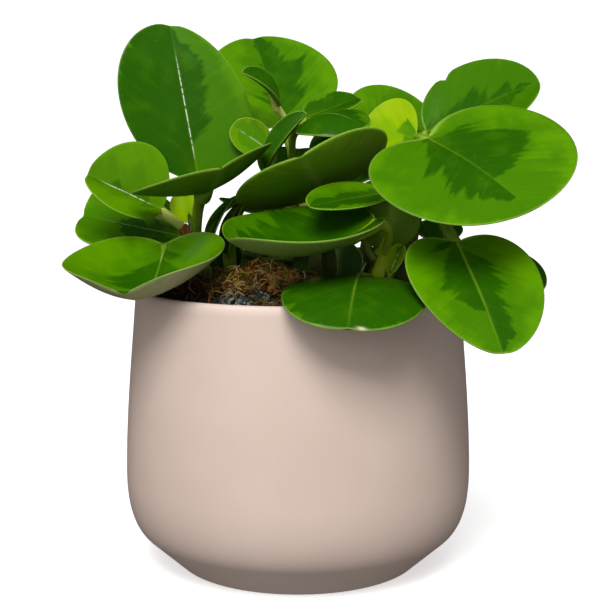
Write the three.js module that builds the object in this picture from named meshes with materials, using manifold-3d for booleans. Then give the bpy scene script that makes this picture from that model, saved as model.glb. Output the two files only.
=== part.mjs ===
// A potted peperomia: a round tapered ceramic pot, soil with a mat of moss, and a bushy plant
// of thick, glossy, spoon-shaped leaves on fleshy petioles. Millimetres, +Z up. The origin is
// the middle of the flat foot that the pot stands on, and -Y is the front of the plant.
import * as THREE from "three";
import { mergeVertices } from "three/addons/utils/BufferGeometryUtils.js";
import Module from "manifold-3d";

const wasm = await Module();
wasm.setup();

// Driving dimensions of the pot
const footRadius = 52;
const shoulderRadius = 68;
const shoulderHeight = 14.5;
const bellyRadius = 75;
const bellyHeight = 40;
const rimRadius = 70.4;
const potHeight = 120;
const lipHeight = 115;
const wall = 5;
const floorThickness = 7;
const potSides = 40;

// Driving dimensions of the soil and the moss
const soilLevel = 113;
const soilRelief = 1.1;
const seatGap = 0.3;
const mossThickness = 6;
const mossMound = 9;
const mossClearance = 0.8;

// Driving dimensions of the plant
const stemRadius = 3.2;
const stemRoot = 14;
const stemSides = 8;
const bladeThickness = 1.3;
const petioleRadius = 1.8;
const petioleTaper = 0.2;
const petioleSides = 5;
const youngSize = 0.7;

// Materials, one for each kind of surface
const finish = (color, roughness) =>
  new THREE.MeshStandardMaterial({ color, roughness, metalness: 0 });
const ceramic = finish(0xd6c0b4, 0.55);
const earth = finish(0x2b211a, 0.95);
const mossy = finish(0x6b5426, 0.95);
const stalk = finish(0x6f8f35, 0.5);
const leafGreen = finish(0x3f8a1c, 0.35);
const youngGreen = finish(0x86b82e, 0.4);

const plant = new THREE.Group();

// Turns a closed geometry into a solid that can be cut and joined.
function solidOf(geometry) {
  const bare = new THREE.BufferGeometry();
  bare.setAttribute("position", geometry.getAttribute("position"));
  if (geometry.index) bare.setIndex(geometry.index);
  const merged = mergeVertices(bare, 1e-3);
  const corners = merged.index.array;
  const triVerts = [];
  for (let i = 0; i < corners.length; i += 3) {
    const [a, b, c] = [corners[i], corners[i + 1], corners[i + 2]];
    if (a !== b && b !== c && c !== a) triVerts.push(a, b, c);
  }
  return new wasm.Manifold(
    new wasm.Mesh({
      numProp: 3,
      vertProperties: new Float32Array(merged.attributes.position.array),
      triVerts: new Uint32Array(triVerts),
    }),
  );
}

// Turns a solid back into a geometry.
function geometryOf(solid) {
  const mesh = solid.getMesh();
  const geometry = new THREE.BufferGeometry();
  geometry.setAttribute("position", new THREE.BufferAttribute(mesh.vertProperties, 3));
  geometry.setIndex(new THREE.BufferAttribute(mesh.triVerts, 1));
  return geometry;
}

function addMesh(name, geometry, material) {
  geometry.computeVertexNormals();
  const mesh = new THREE.Mesh(geometry, material);
  mesh.name = name;
  plant.add(mesh);
}

// A closed tube of the given sides along a list of points, with its own radius at each point
// and a flat cap at each end.
function tubeGeometry(points, radii, sides) {
  const positions = [];
  const indices = [];
  let side = new THREE.Vector3(1, 0, 0);
  points.forEach((point, i) => {
    const before = points[Math.max(i - 1, 0)];
    const after = points[Math.min(i + 1, points.length - 1)];
    const along = after.clone().sub(before).normalize();
    side = side.clone().addScaledVector(along, -side.dot(along)).normalize();
    const across = along.clone().cross(side);
    for (let k = 0; k < sides; k++) {
      const angle = (2 * Math.PI * k) / sides;
      const spot = point
        .clone()
        .addScaledVector(side, radii[i] * Math.cos(angle))
        .addScaledVector(across, radii[i] * Math.sin(angle));
      positions.push(spot.x, spot.y, spot.z);
    }
  });
  for (let i = 0; i + 1 < points.length; i++)
    for (let k = 0; k < sides; k++) {
      const a = i * sides + k;
      const b = i * sides + ((k + 1) % sides);
      indices.push(a, b, b + sides, a, b + sides, a + sides);
    }
  const last = (points.length - 1) * sides;
  for (let k = 1; k + 1 < sides; k++) {
    indices.push(0, k + 1, k);
    indices.push(last, last + k, last + k + 1);
  }
  const geometry = new THREE.BufferGeometry();
  geometry.setAttribute("position", new THREE.Float32BufferAttribute(positions, 3));
  geometry.setIndex(indices);
  return geometry;
}

// A slab between two alike sheets of rows and columns, joined round the edge. `place` gives the
// point of sheet 0, the upper one, or of sheet 1, the lower one.
function slabGeometry(rows, columns, place) {
  const positions = [];
  const indices = [];
  for (const sheet of [0, 1])
    for (let i = 0; i <= rows; i++)
      for (let j = 0; j <= columns; j++) positions.push(...place(sheet, i, j).toArray());
  const spot = (sheet, i, j) => (sheet * (rows + 1) + i) * (columns + 1) + j;
  const quad = (a, b, c, d) => indices.push(a, b, c, a, c, d);
  for (let i = 0; i < rows; i++) {
    for (let j = 0; j < columns; j++) {
      quad(spot(0, i, j), spot(0, i + 1, j), spot(0, i + 1, j + 1), spot(0, i, j + 1));
      const [a, b, c, d] = [[i, j], [i + 1, j], [i + 1, j + 1], [i, j + 1]].map((at) => spot(1, ...at));
      indices.push(a, c, b, a, d, c);
    }
    quad(spot(0, i, 0), spot(1, i, 0), spot(1, i + 1, 0), spot(0, i + 1, 0));
    const far = columns;
    quad(spot(0, i + 1, far), spot(1, i + 1, far), spot(1, i, far), spot(0, i, far));
  }
  for (let j = 0; j < columns; j++) {
    quad(spot(0, 0, j + 1), spot(1, 0, j + 1), spot(1, 0, j), spot(0, 0, j));
    quad(spot(0, rows, j), spot(1, rows, j), spot(1, rows, j + 1), spot(0, rows, j + 1));
  }
  const geometry = new THREE.BufferGeometry();
  geometry.setAttribute("position", new THREE.Float32BufferAttribute(positions, 3));
  geometry.setIndex(indices);
  return geometry;
}

// The pot: a flat foot, a cone-shaped underside, a full belly, a gentle taper up to a round lip,
// and an inside that follows the outside.
const outside = new THREE.Path();
outside.moveTo(0, 0);
outside.lineTo(footRadius, 0);
outside.lineTo(shoulderRadius, shoulderHeight);
outside.bezierCurveTo(72.2, 18.6, bellyRadius, 27, bellyRadius, bellyHeight);
outside.bezierCurveTo(bellyRadius, 66, 72, 94, rimRadius, lipHeight);
const lipTop = rimRadius - wall / 2;
const innerRim = rimRadius - wall;
outside.bezierCurveTo(rimRadius - 0.2, 118.6, lipTop + 1.4, potHeight, lipTop, potHeight);
outside.bezierCurveTo(lipTop - 1.6, potHeight, innerRim, 118.8, innerRim, lipHeight + 1.5);

const innerBelly = bellyRadius - wall;
const inside = new THREE.Path();
inside.moveTo(innerRim, lipHeight + 1.5);
inside.bezierCurveTo(67, 94, innerBelly, 66, innerBelly, bellyHeight);
inside.bezierCurveTo(innerBelly, 27, 66, 19, 58, floorThickness);
inside.lineTo(0, floorThickness);

const curveSteps = 4;
const lathed = (points) => {
  const geometry = new THREE.LatheGeometry(points, potSides);
  return geometry.rotateX(Math.PI / 2);
};
const potProfile = [...outside.getPoints(curveSteps), ...inside.getPoints(curveSteps).slice(1)];
addMesh("pot", lathed(potProfile), ceramic);

// Height of the soil's uneven top at a place.
function soilHeight(x, y) {
  const lumps = Math.sin(x / 7 + 1) * Math.cos(y / 6) + 0.6 * Math.sin((x - y) / 11);
  const away = Math.hypot(x, y) / rimRadius;
  return soilLevel + 3 * (1 - away * away) + soilRelief * lumps;
}

// The soil fills the pot a seat gap clear of its wall, with a plain hole for each stem.
function soilSolid(holes) {
  const wallPoints = inside
    .getPoints(2)
    .reverse()
    .filter((p) => p.y < soilLevel - 6)
    .map((p) => new THREE.Vector2(Math.max(p.x - seatGap, 0), p.y + seatGap));
  const edge = innerRim - seatGap;
  const rings = [1, 0.8, 0.6, 0.4, 0.2, 0].map(
    (share) => new THREE.Vector2(share * edge, soilLevel),
  );
  const geometry = lathed([...wallPoints, ...rings]);
  const spots = geometry.getAttribute("position");
  for (let i = 0; i < spots.count; i++)
    if (spots.getZ(i) > soilLevel - 1)
      spots.setZ(i, soilHeight(spots.getX(i), spots.getY(i)));
  return holes.reduce((soil, hole) => soil.subtract(hole), solidOf(geometry));
}

// The moss: a lumpy mat on the soil along the left and the front of the rim, lower at its edge,
// with a plain hole for each stem that grows through it.
function mossSolid(holes) {
  const [turns, rings] = [18, 5];
  const [from, to] = [(150 * Math.PI) / 180, (308 * Math.PI) / 180];
  const [innerEdge, outerEdge] = [24, innerRim - 1.5];
  const geometry = slabGeometry(rings, turns, (sheet, i, j) => {
    const radius = innerEdge + ((outerEdge - innerEdge) * i) / rings;
    const angle = from + ((to - from) * j) / turns;
    const [x, y] = [radius * Math.cos(angle), radius * Math.sin(angle)];
    const ends = Math.min(1, 2.5 * Math.sin((Math.PI * j) / turns));
    const middle = ends * (1 - 0.5 * Math.pow((2 * i) / rings - 1, 4));
    const tufts = 0.75 + 0.25 * Math.sin(x / 3.1) * Math.cos(y / 2.7 + 1);
    const mound = mossMound * Math.exp(-((x + 14) ** 2 + (y + 38) ** 2) / 200);
    const top = 1 + (mossThickness + mound) * middle * tufts;
    return new THREE.Vector3(x, y, soilHeight(x, y) + mossClearance + (sheet === 0 ? top : 0));
  });
  return holes.reduce((moss, hole) => moss.subtract(hole), solidOf(geometry));
}

// The stems, each a gently bent shoot with a swelling at each joint of a leaf. `through` is the
// line of the shoot from the soil to its growing tip.
const stems = {
  stem_left: { through: [[-36, -6, 114], [-39, -4, 124], [-43, -1, 136], [-45, -1, 146]], joints: 3 },
  stem_inner_left: { through: [[-27, 9, 114], [-30, 8, 130], [-28, 4, 148], [-22, 3, 162]], joints: 3 },
  stem_middle: { through: [[8, 14, 114], [7, 14, 140], [1, 10, 162], [-3, 8, 177]], joints: 5 },
  stem_right: { through: [[42, -10, 114], [47, -9, 135], [52, -6, 160], [54, -4, 178]], joints: 5 },
  stem_front: { through: [[30, -26, 114], [32, -29, 126], [37, -28, 140]], joints: 2 },
  stem_centre: { through: [[14, -8, 114], [14, -9, 128], [12, -8, 146]], joints: 2 },
  stem_back_left: { through: [[-16, 34, 114], [-18, 36, 126], [-20, 37, 144]], joints: 3 },
  stem_back_right: { through: [[28, 30, 114], [32, 33, 140], [36, 36, 170]], joints: 4 },
};

const vector = (xyz) => new THREE.Vector3(...xyz);

for (const stem of Object.values(stems)) {
  const [ground, ...rest] = stem.through.map(vector);
  const root = ground.clone().setZ(ground.z - stemRoot);
  stem.curve = new THREE.CatmullRomCurve3([root, ground, ...rest]);
}

function stemSolid(stem, extra) {
  const steps = 3 * stem.joints + 1;
  const points = stem.curve.getPoints(steps);
  const radii = points.map((_, i) => {
    const share = i / steps;
    const swelling = i % 3 === 2 ? 1.12 : 1;
    const tip = i === steps ? 0.5 : 1;
    return stemRadius * (1 - 0.28 * share) * swelling * tip + extra;
  });
  points[0].z -= extra;
  points[steps].z += extra;
  return solidOf(tubeGeometry(points, radii, stemSides));
}

// A leaf is given by where its blade starts and ends, the way that its upper face looks, and its
// shape: `width` is the full width, `full` the share of the length where it is widest, `lobe` how
// far the left and the right lobe turn back round the petiole, in radians, `sweep` how far the
// left margin is pushed towards the tip and the right one back, `arch` how far the midrib rises
// above a straight line, `cup` how far the left and the right margins rise, and `lift` how far
// the tip turns up, all as shares of the leaf's own size. A small `bowl` folds the blade sharply
// at its midrib, `stout` thickens the petiole, and `flare` widens it like a funnel under the
// blade. Left and right are as seen from the petiole, face up.
const leaves = [
  {
    name: "leaf_tall_left", stem: "stem_left", at: 0.98,
    base: [-43, 3, 166], tip: [-56, 16, 234], face: [0.1, -1, 0.1],
    width: 54, full: 0.47, lobe: [0.08, 0.08], sweep: 0.3, arch: 0.03, cup: [0.12, 0.16], lift: 0,
  },
  {
    name: "leaf_left_small", stem: "stem_left", at: 0.86,
    base: [-58, -6, 154], tip: [-90, -10, 169], face: [0.1, -0.75, 0.7],
    width: 40, full: 0.45, lobe: [0, 0], sweep: 0, arch: 0, cup: [0.6, 0.6], lift: 0, stout: 1.2, bowl: 1.1,
  },
  {
    name: "leaf_left_behind", stem: "stem_left", at: 0.7,
    base: [-50, 12, 141], tip: [-97, 20, 150], face: [0.1, -0.5, 0.85],
    width: 54, full: 0.68, lobe: [0.2, 0.2], sweep: -0.12, arch: 0, cup: [0.2, 0.2], lift: 0,
  },
  {
    name: "leaf_front_left_bowl", stem: "stem_left", at: 0.6,
    base: [-56, -18, 140], tip: [-66, -70, 123], face: [-0.1, -0.25, 1],
    width: 62, full: 0.56, lobe: [0.5, 0.3], sweep: 0, arch: -0.16, cup: [0.5, 0.5], lift: 0.04,
  },
  {
    name: "leaf_left_raised", stem: "stem_left", at: 0.93,
    base: [-41.5, -11, 163], tip: [-30, -53, 172.5], face: [-0.4, 0.3, 0.9],
    width: 62, full: 0.35, lobe: [0.2, 0], sweep: 0, arch: -0.08, cup: [0.33, 0.28], lift: 0, stout: 1.4,
    flare: 0.9,
  },
  {
    name: "leaf_back_tall", stem: "stem_middle", at: 0.97,
    base: [-6, 20, 190], tip: [-21, 50, 231], face: [0.2, -0.8, 0.6],
    width: 62, full: 0.42, lobe: [0.25, 0], sweep: -0.05, arch: 0, cup: [0.2, 0.15], lift: 0,
  },
  {
    name: "leaf_young_edge", stem: "stem_middle", at: 0.99,
    base: [-8, 1, 198], tip: [-24, -8, 212], face: [0.5, -0.4, 0.75],
    width: 15, full: 0.5, lobe: [0, 0], sweep: 0, arch: 0.1, cup: [0.4, 0.4], lift: 0,
  },
  {
    name: "leaf_young_lime", stem: "stem_inner_left", at: 0.97,
    base: [-12, 1, 179], tip: [-28.5, 1, 190], face: [0.2, -1, 0.2],
    width: 16, full: 0.5, lobe: [0, 0], sweep: 0, arch: 0, cup: [0.2, 0.2], lift: 0, young: true,
  },
  {
    name: "leaf_folded_dark", stem: "stem_inner_left", at: 0.92,
    base: [-14, -5, 171], tip: [4, -8, 195], face: [-0.7, -0.5, 0.4],
    width: 13, full: 0.5, lobe: [0, 0], sweep: 0, arch: 0.05, cup: [0.6, 0.6], lift: 0,
  },
  {
    name: "leaf_inner_drooping", stem: "stem_inner_left", at: 0.8,
    base: [-26, 0, 160], tip: [-38, -8, 138], face: [-0.8, -0.2, 0.5],
    width: 22, full: 0.5, lobe: [0, 0], sweep: 0, arch: 0.1, cup: [0.1, 0.1], lift: 0,
  },
  {
    name: "leaf_inner_edge", stem: "stem_inner_left", at: 0.68,
    base: [-24, 5, 157], tip: [-31, 0, 134], face: [-0.8, -0.3, 0.5],
    width: 18, full: 0.5, lobe: [0, 0], sweep: 0, arch: 0.1, cup: [0.1, 0.1], lift: 0,
  },
  {
    name: "leaf_axil", stem: "stem_left", at: 0.8,
    base: [-46, 7, 148], tip: [-51, 9, 162], face: [-0.1, -1, 0.3],
    width: 15, full: 0.5, lobe: [0, 0], sweep: 0, arch: 0.05, cup: [0.2, 0.2], lift: 0, young: true,
  },
  {
    name: "leaf_inner_back", stem: "stem_middle", at: 0.3,
    base: [15, 20, 118], tip: [18, 30, 139], face: [0.3, 0.9, 0.4],
    width: 26, full: 0.5, lobe: [0, 0], sweep: 0, arch: 0.05, cup: [0.1, 0.1], lift: 0,
  },
  {
    name: "leaf_inner_low", stem: "stem_inner_left", at: 0.4,
    base: [-36, 22, 122], tip: [-39, 20, 140], face: [0.1, -0.9, 0.2],
    width: 25, full: 0.5, lobe: [0, 0], sweep: 0, arch: 0.05, cup: [0.1, 0.1], lift: 0,
  },
  {
    name: "leaf_right_flat", stem: "stem_middle", at: 0.95,
    base: [3, 6, 193], tip: [27, 15, 202], face: [0, -0.35, 0.9],
    width: 24, full: 0.5, lobe: [0, 0], sweep: 0, arch: 0, cup: [0.2, 0.2], lift: 0,
  },
  {
    name: "leaf_arching", stem: "stem_middle", at: 0.9,
    base: [2, -4, 190], tip: [27, -28, 188], face: [0.2, -0.5, 0.85],
    width: 28, full: 0.5, lobe: [0, 0], sweep: 0, arch: 0.15, cup: [-0.1, -0.4], lift: 0,
  },
  {
    name: "leaf_middle_low", stem: "stem_middle", at: 0.8,
    base: [5, 0, 178], tip: [20, -4, 186], face: [0, -0.7, 0.7],
    width: 15, full: 0.5, lobe: [0, 0], sweep: 0, arch: 0.05, cup: [0.1, 0.1], lift: 0,
  },
  {
    name: "leaf_back_right", stem: "stem_back_right", at: 0.97,
    base: [32, 34, 182], tip: [62, 60, 199], face: [0.1, -0.7, 0.7],
    width: 50, full: 0.5, lobe: [0.2, 0.2], sweep: 0, arch: 0, cup: [0.2, 0.2], lift: 0,
  },
  {
    name: "leaf_lime_right", stem: "stem_right", at: 0.96,
    base: [51, 6, 184], tip: [28, 8, 189], face: [-0.1, -0.7, 0.7],
    width: 34, full: 0.4, lobe: [0, 0], sweep: 0, arch: 0.05, cup: [0.25, 0.25], lift: 0, young: true,
  },
  {
    name: "leaf_upper_right", stem: "stem_right", at: 0.98,
    base: [56, 12, 187], tip: [106, 17, 211], face: [-0.15, -0.75, 0.65],
    width: 46, full: 0.45, lobe: [0.15, 0.15], sweep: 0.22, arch: 0, cup: [0.12, 0.4], lift: -0.05,
  },
  {
    name: "leaf_large_right", stem: "stem_right", at: 0.99,
    base: [52, -36, 184], tip: [86, -82, 157], face: [-0.05, -0.6, 0.8],
    width: 78, full: 0.55, lobe: [0.75, 0.55], sweep: 0, arch: 0.04, cup: [0.05, 0.05], lift: 0,
  },
  {
    name: "leaf_hanging_right", stem: "stem_right", at: 0.8,
    base: [61.5, -57, 144], tip: [75, -92, 105], face: [0.15, -0.8, 0.5],
    width: 47, full: 0.42, lobe: [0.4, 0.4], sweep: 0.12, arch: 0.03, cup: [0.1, 0.05], lift: 0, stout: 1.25,
  },
  {
    name: "leaf_hanging_behind", stem: "stem_right", at: 0.5,
    base: [72, -14, 135], tip: [99, -34, 121], face: [0.2, -0.5, 0.8],
    width: 34, full: 0.5, lobe: [0, 0], sweep: 0, arch: 0.03, cup: [0.1, 0.1], lift: 0,
  },
  {
    name: "leaf_right_inner", stem: "stem_right", at: 0.68,
    base: [59, -12, 150], tip: [58, -32, 142], face: [0, -0.3, 1],
    width: 20, full: 0.5, lobe: [0, 0], sweep: 0, arch: 0.05, cup: [0, 0], lift: 0,
  },
  {
    name: "leaf_front_hanging", stem: "stem_front", at: 0.62,
    base: [24, -50, 130], tip: [18, -95, 115], face: [0, -0.3, 1],
    width: 54, full: 0.5, lobe: [0.24, 0.24], sweep: 0, arch: 0.08, cup: [-0.12, -0.12], lift: 0,
  },
  {
    name: "leaf_centre_bowl", stem: "stem_front", at: 0.9,
    base: [31, -43, 152], tip: [-28, -62, 145], face: [0, -0.15, 1],
    width: 60, full: 0.5, lobe: [0.2, 0.2], sweep: 0, arch: -0.15, cup: [0.38, 0.38], lift: 0,
  },
  {
    name: "leaf_underside", stem: "stem_front", at: 0.97,
    base: [34, -24, 138], tip: [40, -32, 158], face: [0, 0.9, 0.4],
    width: 25, full: 0.6, lobe: [0, 0], sweep: 0, arch: -0.1, cup: [0.2, 0.2], lift: 0, stout: 1.3,
  },
  {
    name: "leaf_centre_raised", stem: "stem_centre", at: 0.97,
    base: [12, -4, 160], tip: [1, -47, 177], face: [-0.37, 0.4, 0.85],
    width: 66, full: 0.5, lobe: [0.4, 0.2], sweep: 0, arch: -0.04, cup: [0.2, 0.2], lift: 0,
  },
  {
    name: "leaf_centre_small", stem: "stem_centre", at: 0.9,
    base: [36, -26, 162], tip: [4, -48, 157], face: [0, -0.5, 0.9],
    width: 22, full: 0.5, lobe: [0, 0], sweep: 0, arch: 0, cup: [0.2, 0.2], lift: 0,
  },
];

// The leaves behind, in tiers round the back of the plant: the lower ones reach out over the
// rim, and the upper ones stand up between them.
const backTiers = [
  { azimuths: [24, 60, 96, 134], base: [42, 130], tip: [94, 104], width: 52, arch: 0.16, at: 0.55 },
  { azimuths: [76, 108], base: [46, 146], tip: [82, 150], width: 40, arch: 0.08, at: 0.74 },
  { azimuths: [28, 60, 90], base: [46, 160], tip: [86, 180], width: 44, arch: 0.08, at: 0.88 },
];
backTiers.forEach((tier, row) =>
  tier.azimuths.forEach((azimuth, i) => {
    const [x, y] = [Math.cos((azimuth * Math.PI) / 180), Math.sin((azimuth * Math.PI) / 180)];
    leaves.push({
      name: `leaf_back_${row + 1}_${i + 1}`,
      stem: azimuth < 90 ? "stem_back_right" : "stem_back_left",
      at: tier.at + 0.04 * i,
      base: [tier.base[0] * x, tier.base[0] * y, tier.base[1] + 3 * (i % 2)],
      tip: [tier.tip[0] * x, tier.tip[0] * y, tier.tip[1] + 4 * (i % 2)],
      face: [0.5 * x, 0.5 * y, 1],
      width: tier.width - 3 * (i % 3),
      arch: tier.arch,
      full: 0.5, lobe: [0.2, 0.2], sweep: 0.1 - 0.2 * (i % 2), cup: [0.1, 0.1], lift: 0,
    });
  }),
);

// Half of the blade's width at a share of its length.
function halfWidth(leaf, u) {
  const { full, width } = leaf;
  const shape = (share) => Math.pow(share, full) * Math.pow(1 - share, 1 - full);
  return (0.5 * width * shape(u)) / shape(full);
}

// A leaf's own directions: along the midrib, across it, and out of its upper face.
function leafFrame(leaf) {
  const base = vector(leaf.base);
  const along = vector(leaf.tip).sub(base);
  const length = along.length();
  along.normalize();
  const up = vector(leaf.face);
  up.addScaledVector(along, -up.dot(along)).normalize();
  return { base, length, along, up, across: up.clone().cross(along) };
}

// How the cup grows from the midrib to the margin, as a power of the way out.
const usualBowl = 1.7;

// The point of the blade at a share of its length and from -1 to 1 across it, and `drop` below
// the middle of its thickness.
function bladePoint(leaf, frame, u, v, drop) {
  const half = halfWidth(leaf, u);
  const side = v > 0 ? 0 : 1;
  const turn = leaf.lobe[side] * v * v * Math.pow(1 - u, 3);
  const ahead = u * frame.length;
  const aside = Math.abs(v) * half;
  const swept = leaf.sweep * v * half;
  const rise =
    leaf.arch * frame.length * 4 * u * (1 - u) +
    leaf.lift * frame.length * Math.pow(u, 3) +
    leaf.cup[side] * half * Math.pow(Math.abs(v), leaf.bowl ?? usualBowl);
  const forward = ahead * Math.cos(turn) - aside * Math.sin(turn) + swept;
  const sideways = aside * Math.cos(turn) + ahead * Math.sin(turn);
  return frame.base
    .clone()
    .addScaledVector(frame.along, forward)
    .addScaledVector(frame.across, Math.sign(v) * sideways)
    .addScaledVector(frame.up, rise - drop);
}

// Rows and columns of a blade: a wide one gets more of them.
const wideBlade = 50;
const bladeGrid = (leaf) => (leaf.width > wideBlade ? [8, 6] : [7, 4]);

// The blade: two alike sheets, a thickness apart, joined round the margin.
function bladeGeometry(leaf, frame) {
  const [rows, columns] = bladeGrid(leaf);
  return slabGeometry(rows, columns, (sheet, i, j) => {
    const u = (1 - Math.cos((Math.PI * i) / rows)) / 2;
    const v = (2 * j) / columns - 1;
    return bladePoint(leaf, frame, u, v, (sheet - 0.5) * bladeThickness);
  });
}

// Where the thick start of the midrib passes, as shares of the blade's length, and how thick it
// is there beside the petiole.
const midribStart = [
  { at: 0.1, size: 0.7 },
  { at: 0.22, size: 0.45 },
];

// The petiole leaves the stem, bends into line with the blade and runs on under it as the
// thick start of the midrib, low enough that the upper face stays smooth.
function petioleGeometry(leaf, frame, extra) {
  const thick = petioleRadius * (leaf.stout ?? 1) * (leaf.young ? youngSize : 1);
  const flare = leaf.flare ?? 0;
  const under = (radius) => Math.max(0.45 * bladeThickness, radius - 0.3 * bladeThickness);
  const start = stems[leaf.stem].curve.getPointAt(leaf.at);
  const end = bladePoint(leaf, frame, 0, 0, under(thick * (1 - petioleTaper) * (1 + flare)));
  const bend = end.clone().addScaledVector(frame.along, -0.45 * start.distanceTo(end));
  const curve = new THREE.QuadraticBezierCurve3(start, bend, end);
  const steps = 4;
  const points = curve.getPoints(steps);
  const radii = points.map((_, i) => {
    const share = i / steps;
    return thick * (1 - petioleTaper * share) * (1 + flare * share * share) + extra;
  });
  for (const rib of midribStart) {
    const radius = rib.size * thick * (1 + flare);
    points.push(bladePoint(leaf, frame, rib.at, 0, under(radius)));
    radii.push(radius + extra);
  }
  return tubeGeometry(points, radii, petioleSides);
}

const stemHoles = {};
for (const [name, stem] of Object.entries(stems)) {
  stemHoles[name] = stemSolid(stem, seatGap);
  addMesh(name, geometryOf(stemSolid(stem, 0)), stalk);
}

addMesh("soil", geometryOf(soilSolid(Object.values(stemHoles))), earth);
addMesh("moss", geometryOf(mossSolid([stemHoles.stem_left, stemHoles.stem_inner_left])), mossy);

// Where two petioles leave a stem side by side, the later one is cut clear of the earlier one.
const petioleRoom = {};
for (const leaf of leaves) {
  const frame = leafFrame(leaf);
  const blade = solidOf(bladeGeometry(leaf, frame));
  const petiole = solidOf(petioleGeometry(leaf, frame, 0));
  let whole = blade.add(petiole).subtract(stemHoles[leaf.stem]);
  const neighbours = (petioleRoom[leaf.stem] ??= []);
  for (const room of neighbours) whole = whole.subtract(room);
  neighbours.push(solidOf(petioleGeometry(leaf, frame, seatGap)));
  const body = whole.decompose().sort((a, b) => b.volume() - a.volume())[0];
  addMesh(leaf.name, geometryOf(body), leaf.young ? youngGreen : leafGreen);
}

export default plant;
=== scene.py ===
# %% [markdown]
# # A potted peperomia
# The object is a house plant in a round ceramic cover pot. The packed solids give the places and
# the sizes. This lesson dresses them: a glazed pot, soil, a mat of moss, fleshy stems and thick,
# glossy, two-coloured leaves. Sizes are written in millimetres. Only the trees that scatter fibres
# and crumbs over a finished piece work in Blender's own metres.

# %% Load the frame
import math
from types import SimpleNamespace
import bpy
import numpy as np
from mathutils import Matrix, Vector, noise


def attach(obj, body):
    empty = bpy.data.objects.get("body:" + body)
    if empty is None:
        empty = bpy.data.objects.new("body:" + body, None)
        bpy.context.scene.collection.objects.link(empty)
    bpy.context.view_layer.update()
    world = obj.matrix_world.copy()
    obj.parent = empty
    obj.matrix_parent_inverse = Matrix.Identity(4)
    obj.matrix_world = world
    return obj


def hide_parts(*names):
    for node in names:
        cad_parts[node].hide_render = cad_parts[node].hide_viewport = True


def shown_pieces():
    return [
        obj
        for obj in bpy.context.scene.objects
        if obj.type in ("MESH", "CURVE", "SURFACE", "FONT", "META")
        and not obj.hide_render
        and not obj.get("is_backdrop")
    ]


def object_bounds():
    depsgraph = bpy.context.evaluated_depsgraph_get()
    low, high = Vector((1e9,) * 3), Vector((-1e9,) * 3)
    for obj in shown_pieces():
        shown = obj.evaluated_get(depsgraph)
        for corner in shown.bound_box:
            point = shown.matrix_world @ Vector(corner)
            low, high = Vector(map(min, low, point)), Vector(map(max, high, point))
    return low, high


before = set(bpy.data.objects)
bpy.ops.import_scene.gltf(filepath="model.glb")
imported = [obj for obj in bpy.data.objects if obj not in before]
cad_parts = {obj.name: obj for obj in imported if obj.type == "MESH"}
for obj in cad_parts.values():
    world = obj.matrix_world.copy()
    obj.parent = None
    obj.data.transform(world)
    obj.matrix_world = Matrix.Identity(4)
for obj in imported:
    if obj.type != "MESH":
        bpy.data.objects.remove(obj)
solid_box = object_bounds()
millimetre = 0.001
print("solids:", len(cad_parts), "box:", [tuple(round(c, 3) for c in p) for p in solid_box])

# %% [markdown]
# ## Camera
# The photo was taken from a little above the rim, with the pot standing straight. A long lens
# about half a metre away gives the same slight flattening of the rim's ellipse. The camera comes
# first, so that every later step can be judged through it.

# %% Camera
image_width = 600
camera_distance = 550
camera_height = 180
camera_pitch = 6.8
focal_length = 76.3
sensor_width = 36
right_pixels = 2

camera_data = bpy.data.cameras.new("camera")
camera_data.lens = focal_length
camera_data.sensor_width = sensor_width
camera_data.shift_x = right_pixels / image_width
camera = bpy.data.objects.new("camera", camera_data)
camera.location = (0, -camera_distance * millimetre, camera_height * millimetre)
camera.rotation_euler = (math.radians(90 - camera_pitch), 0, 0)
bpy.context.scene.collection.objects.link(camera)
bpy.context.scene.camera = camera
print("camera looks down by", camera_pitch, "degrees")

# %% [markdown]
# ## Node trees as sums
# A finish or a rule-made shape is a tree of small nodes. Wrapping a socket in a class lets Python
# operators add the Math nodes, so that a formula in this file reads as it does on paper. The same
# class serves the shader trees and the geometry trees, because both know the Math node.

# %% A term of a node tree
def worked(operation, reflected=False):
    """A method that adds one Math node, for one of Python's operators or for a plain word."""
    def method(self, *others):
        values = (*others, self) if reflected else (self, *others)
        return self.graph.term("ShaderNodeMath", {"operation": operation}, dict(enumerate(values)))
    return method


class Term:
    """One value of a node tree. Python's operators on it add Math nodes."""

    def __init__(self, graph, socket):
        self.graph, self.socket = graph, socket

    __add__ = __radd__ = worked("ADD")
    __mul__ = __rmul__ = worked("MULTIPLY")
    __sub__ = worked("SUBTRACT")
    __rsub__ = worked("SUBTRACT", reflected=True)
    __truediv__ = worked("DIVIDE")
    __rtruediv__ = worked("DIVIDE", reflected=True)
    __pow__ = worked("POWER")
    size = worked("ABSOLUTE")
    root = worked("SQRT")
    sine = worked("SINE")
    cosine = worked("COSINE")
    fraction = worked("FRACT")
    exponent = worked("EXPONENT")
    least = worked("MINIMUM")
    most = worked("MAXIMUM")
    above = worked("GREATER_THAN")

    def __neg__(self):
        return self * -1

    def bell(self, width):
        """1 where the value is 0, and falling to nothing a few widths away."""
        share = self / width
        return (-(share * share)).exponent()

    def step(self, low, high):
        """Rises smoothly from 0 at low to 1 at high."""
        settings = {"interpolation_type": "SMOOTHSTEP"}
        inputs = {"Value": self, "From Min": low, "From Max": high}
        return self.graph.term("ShaderNodeMapRange", settings, inputs)


print("operators and words:", len(vars(Term)))

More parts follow.
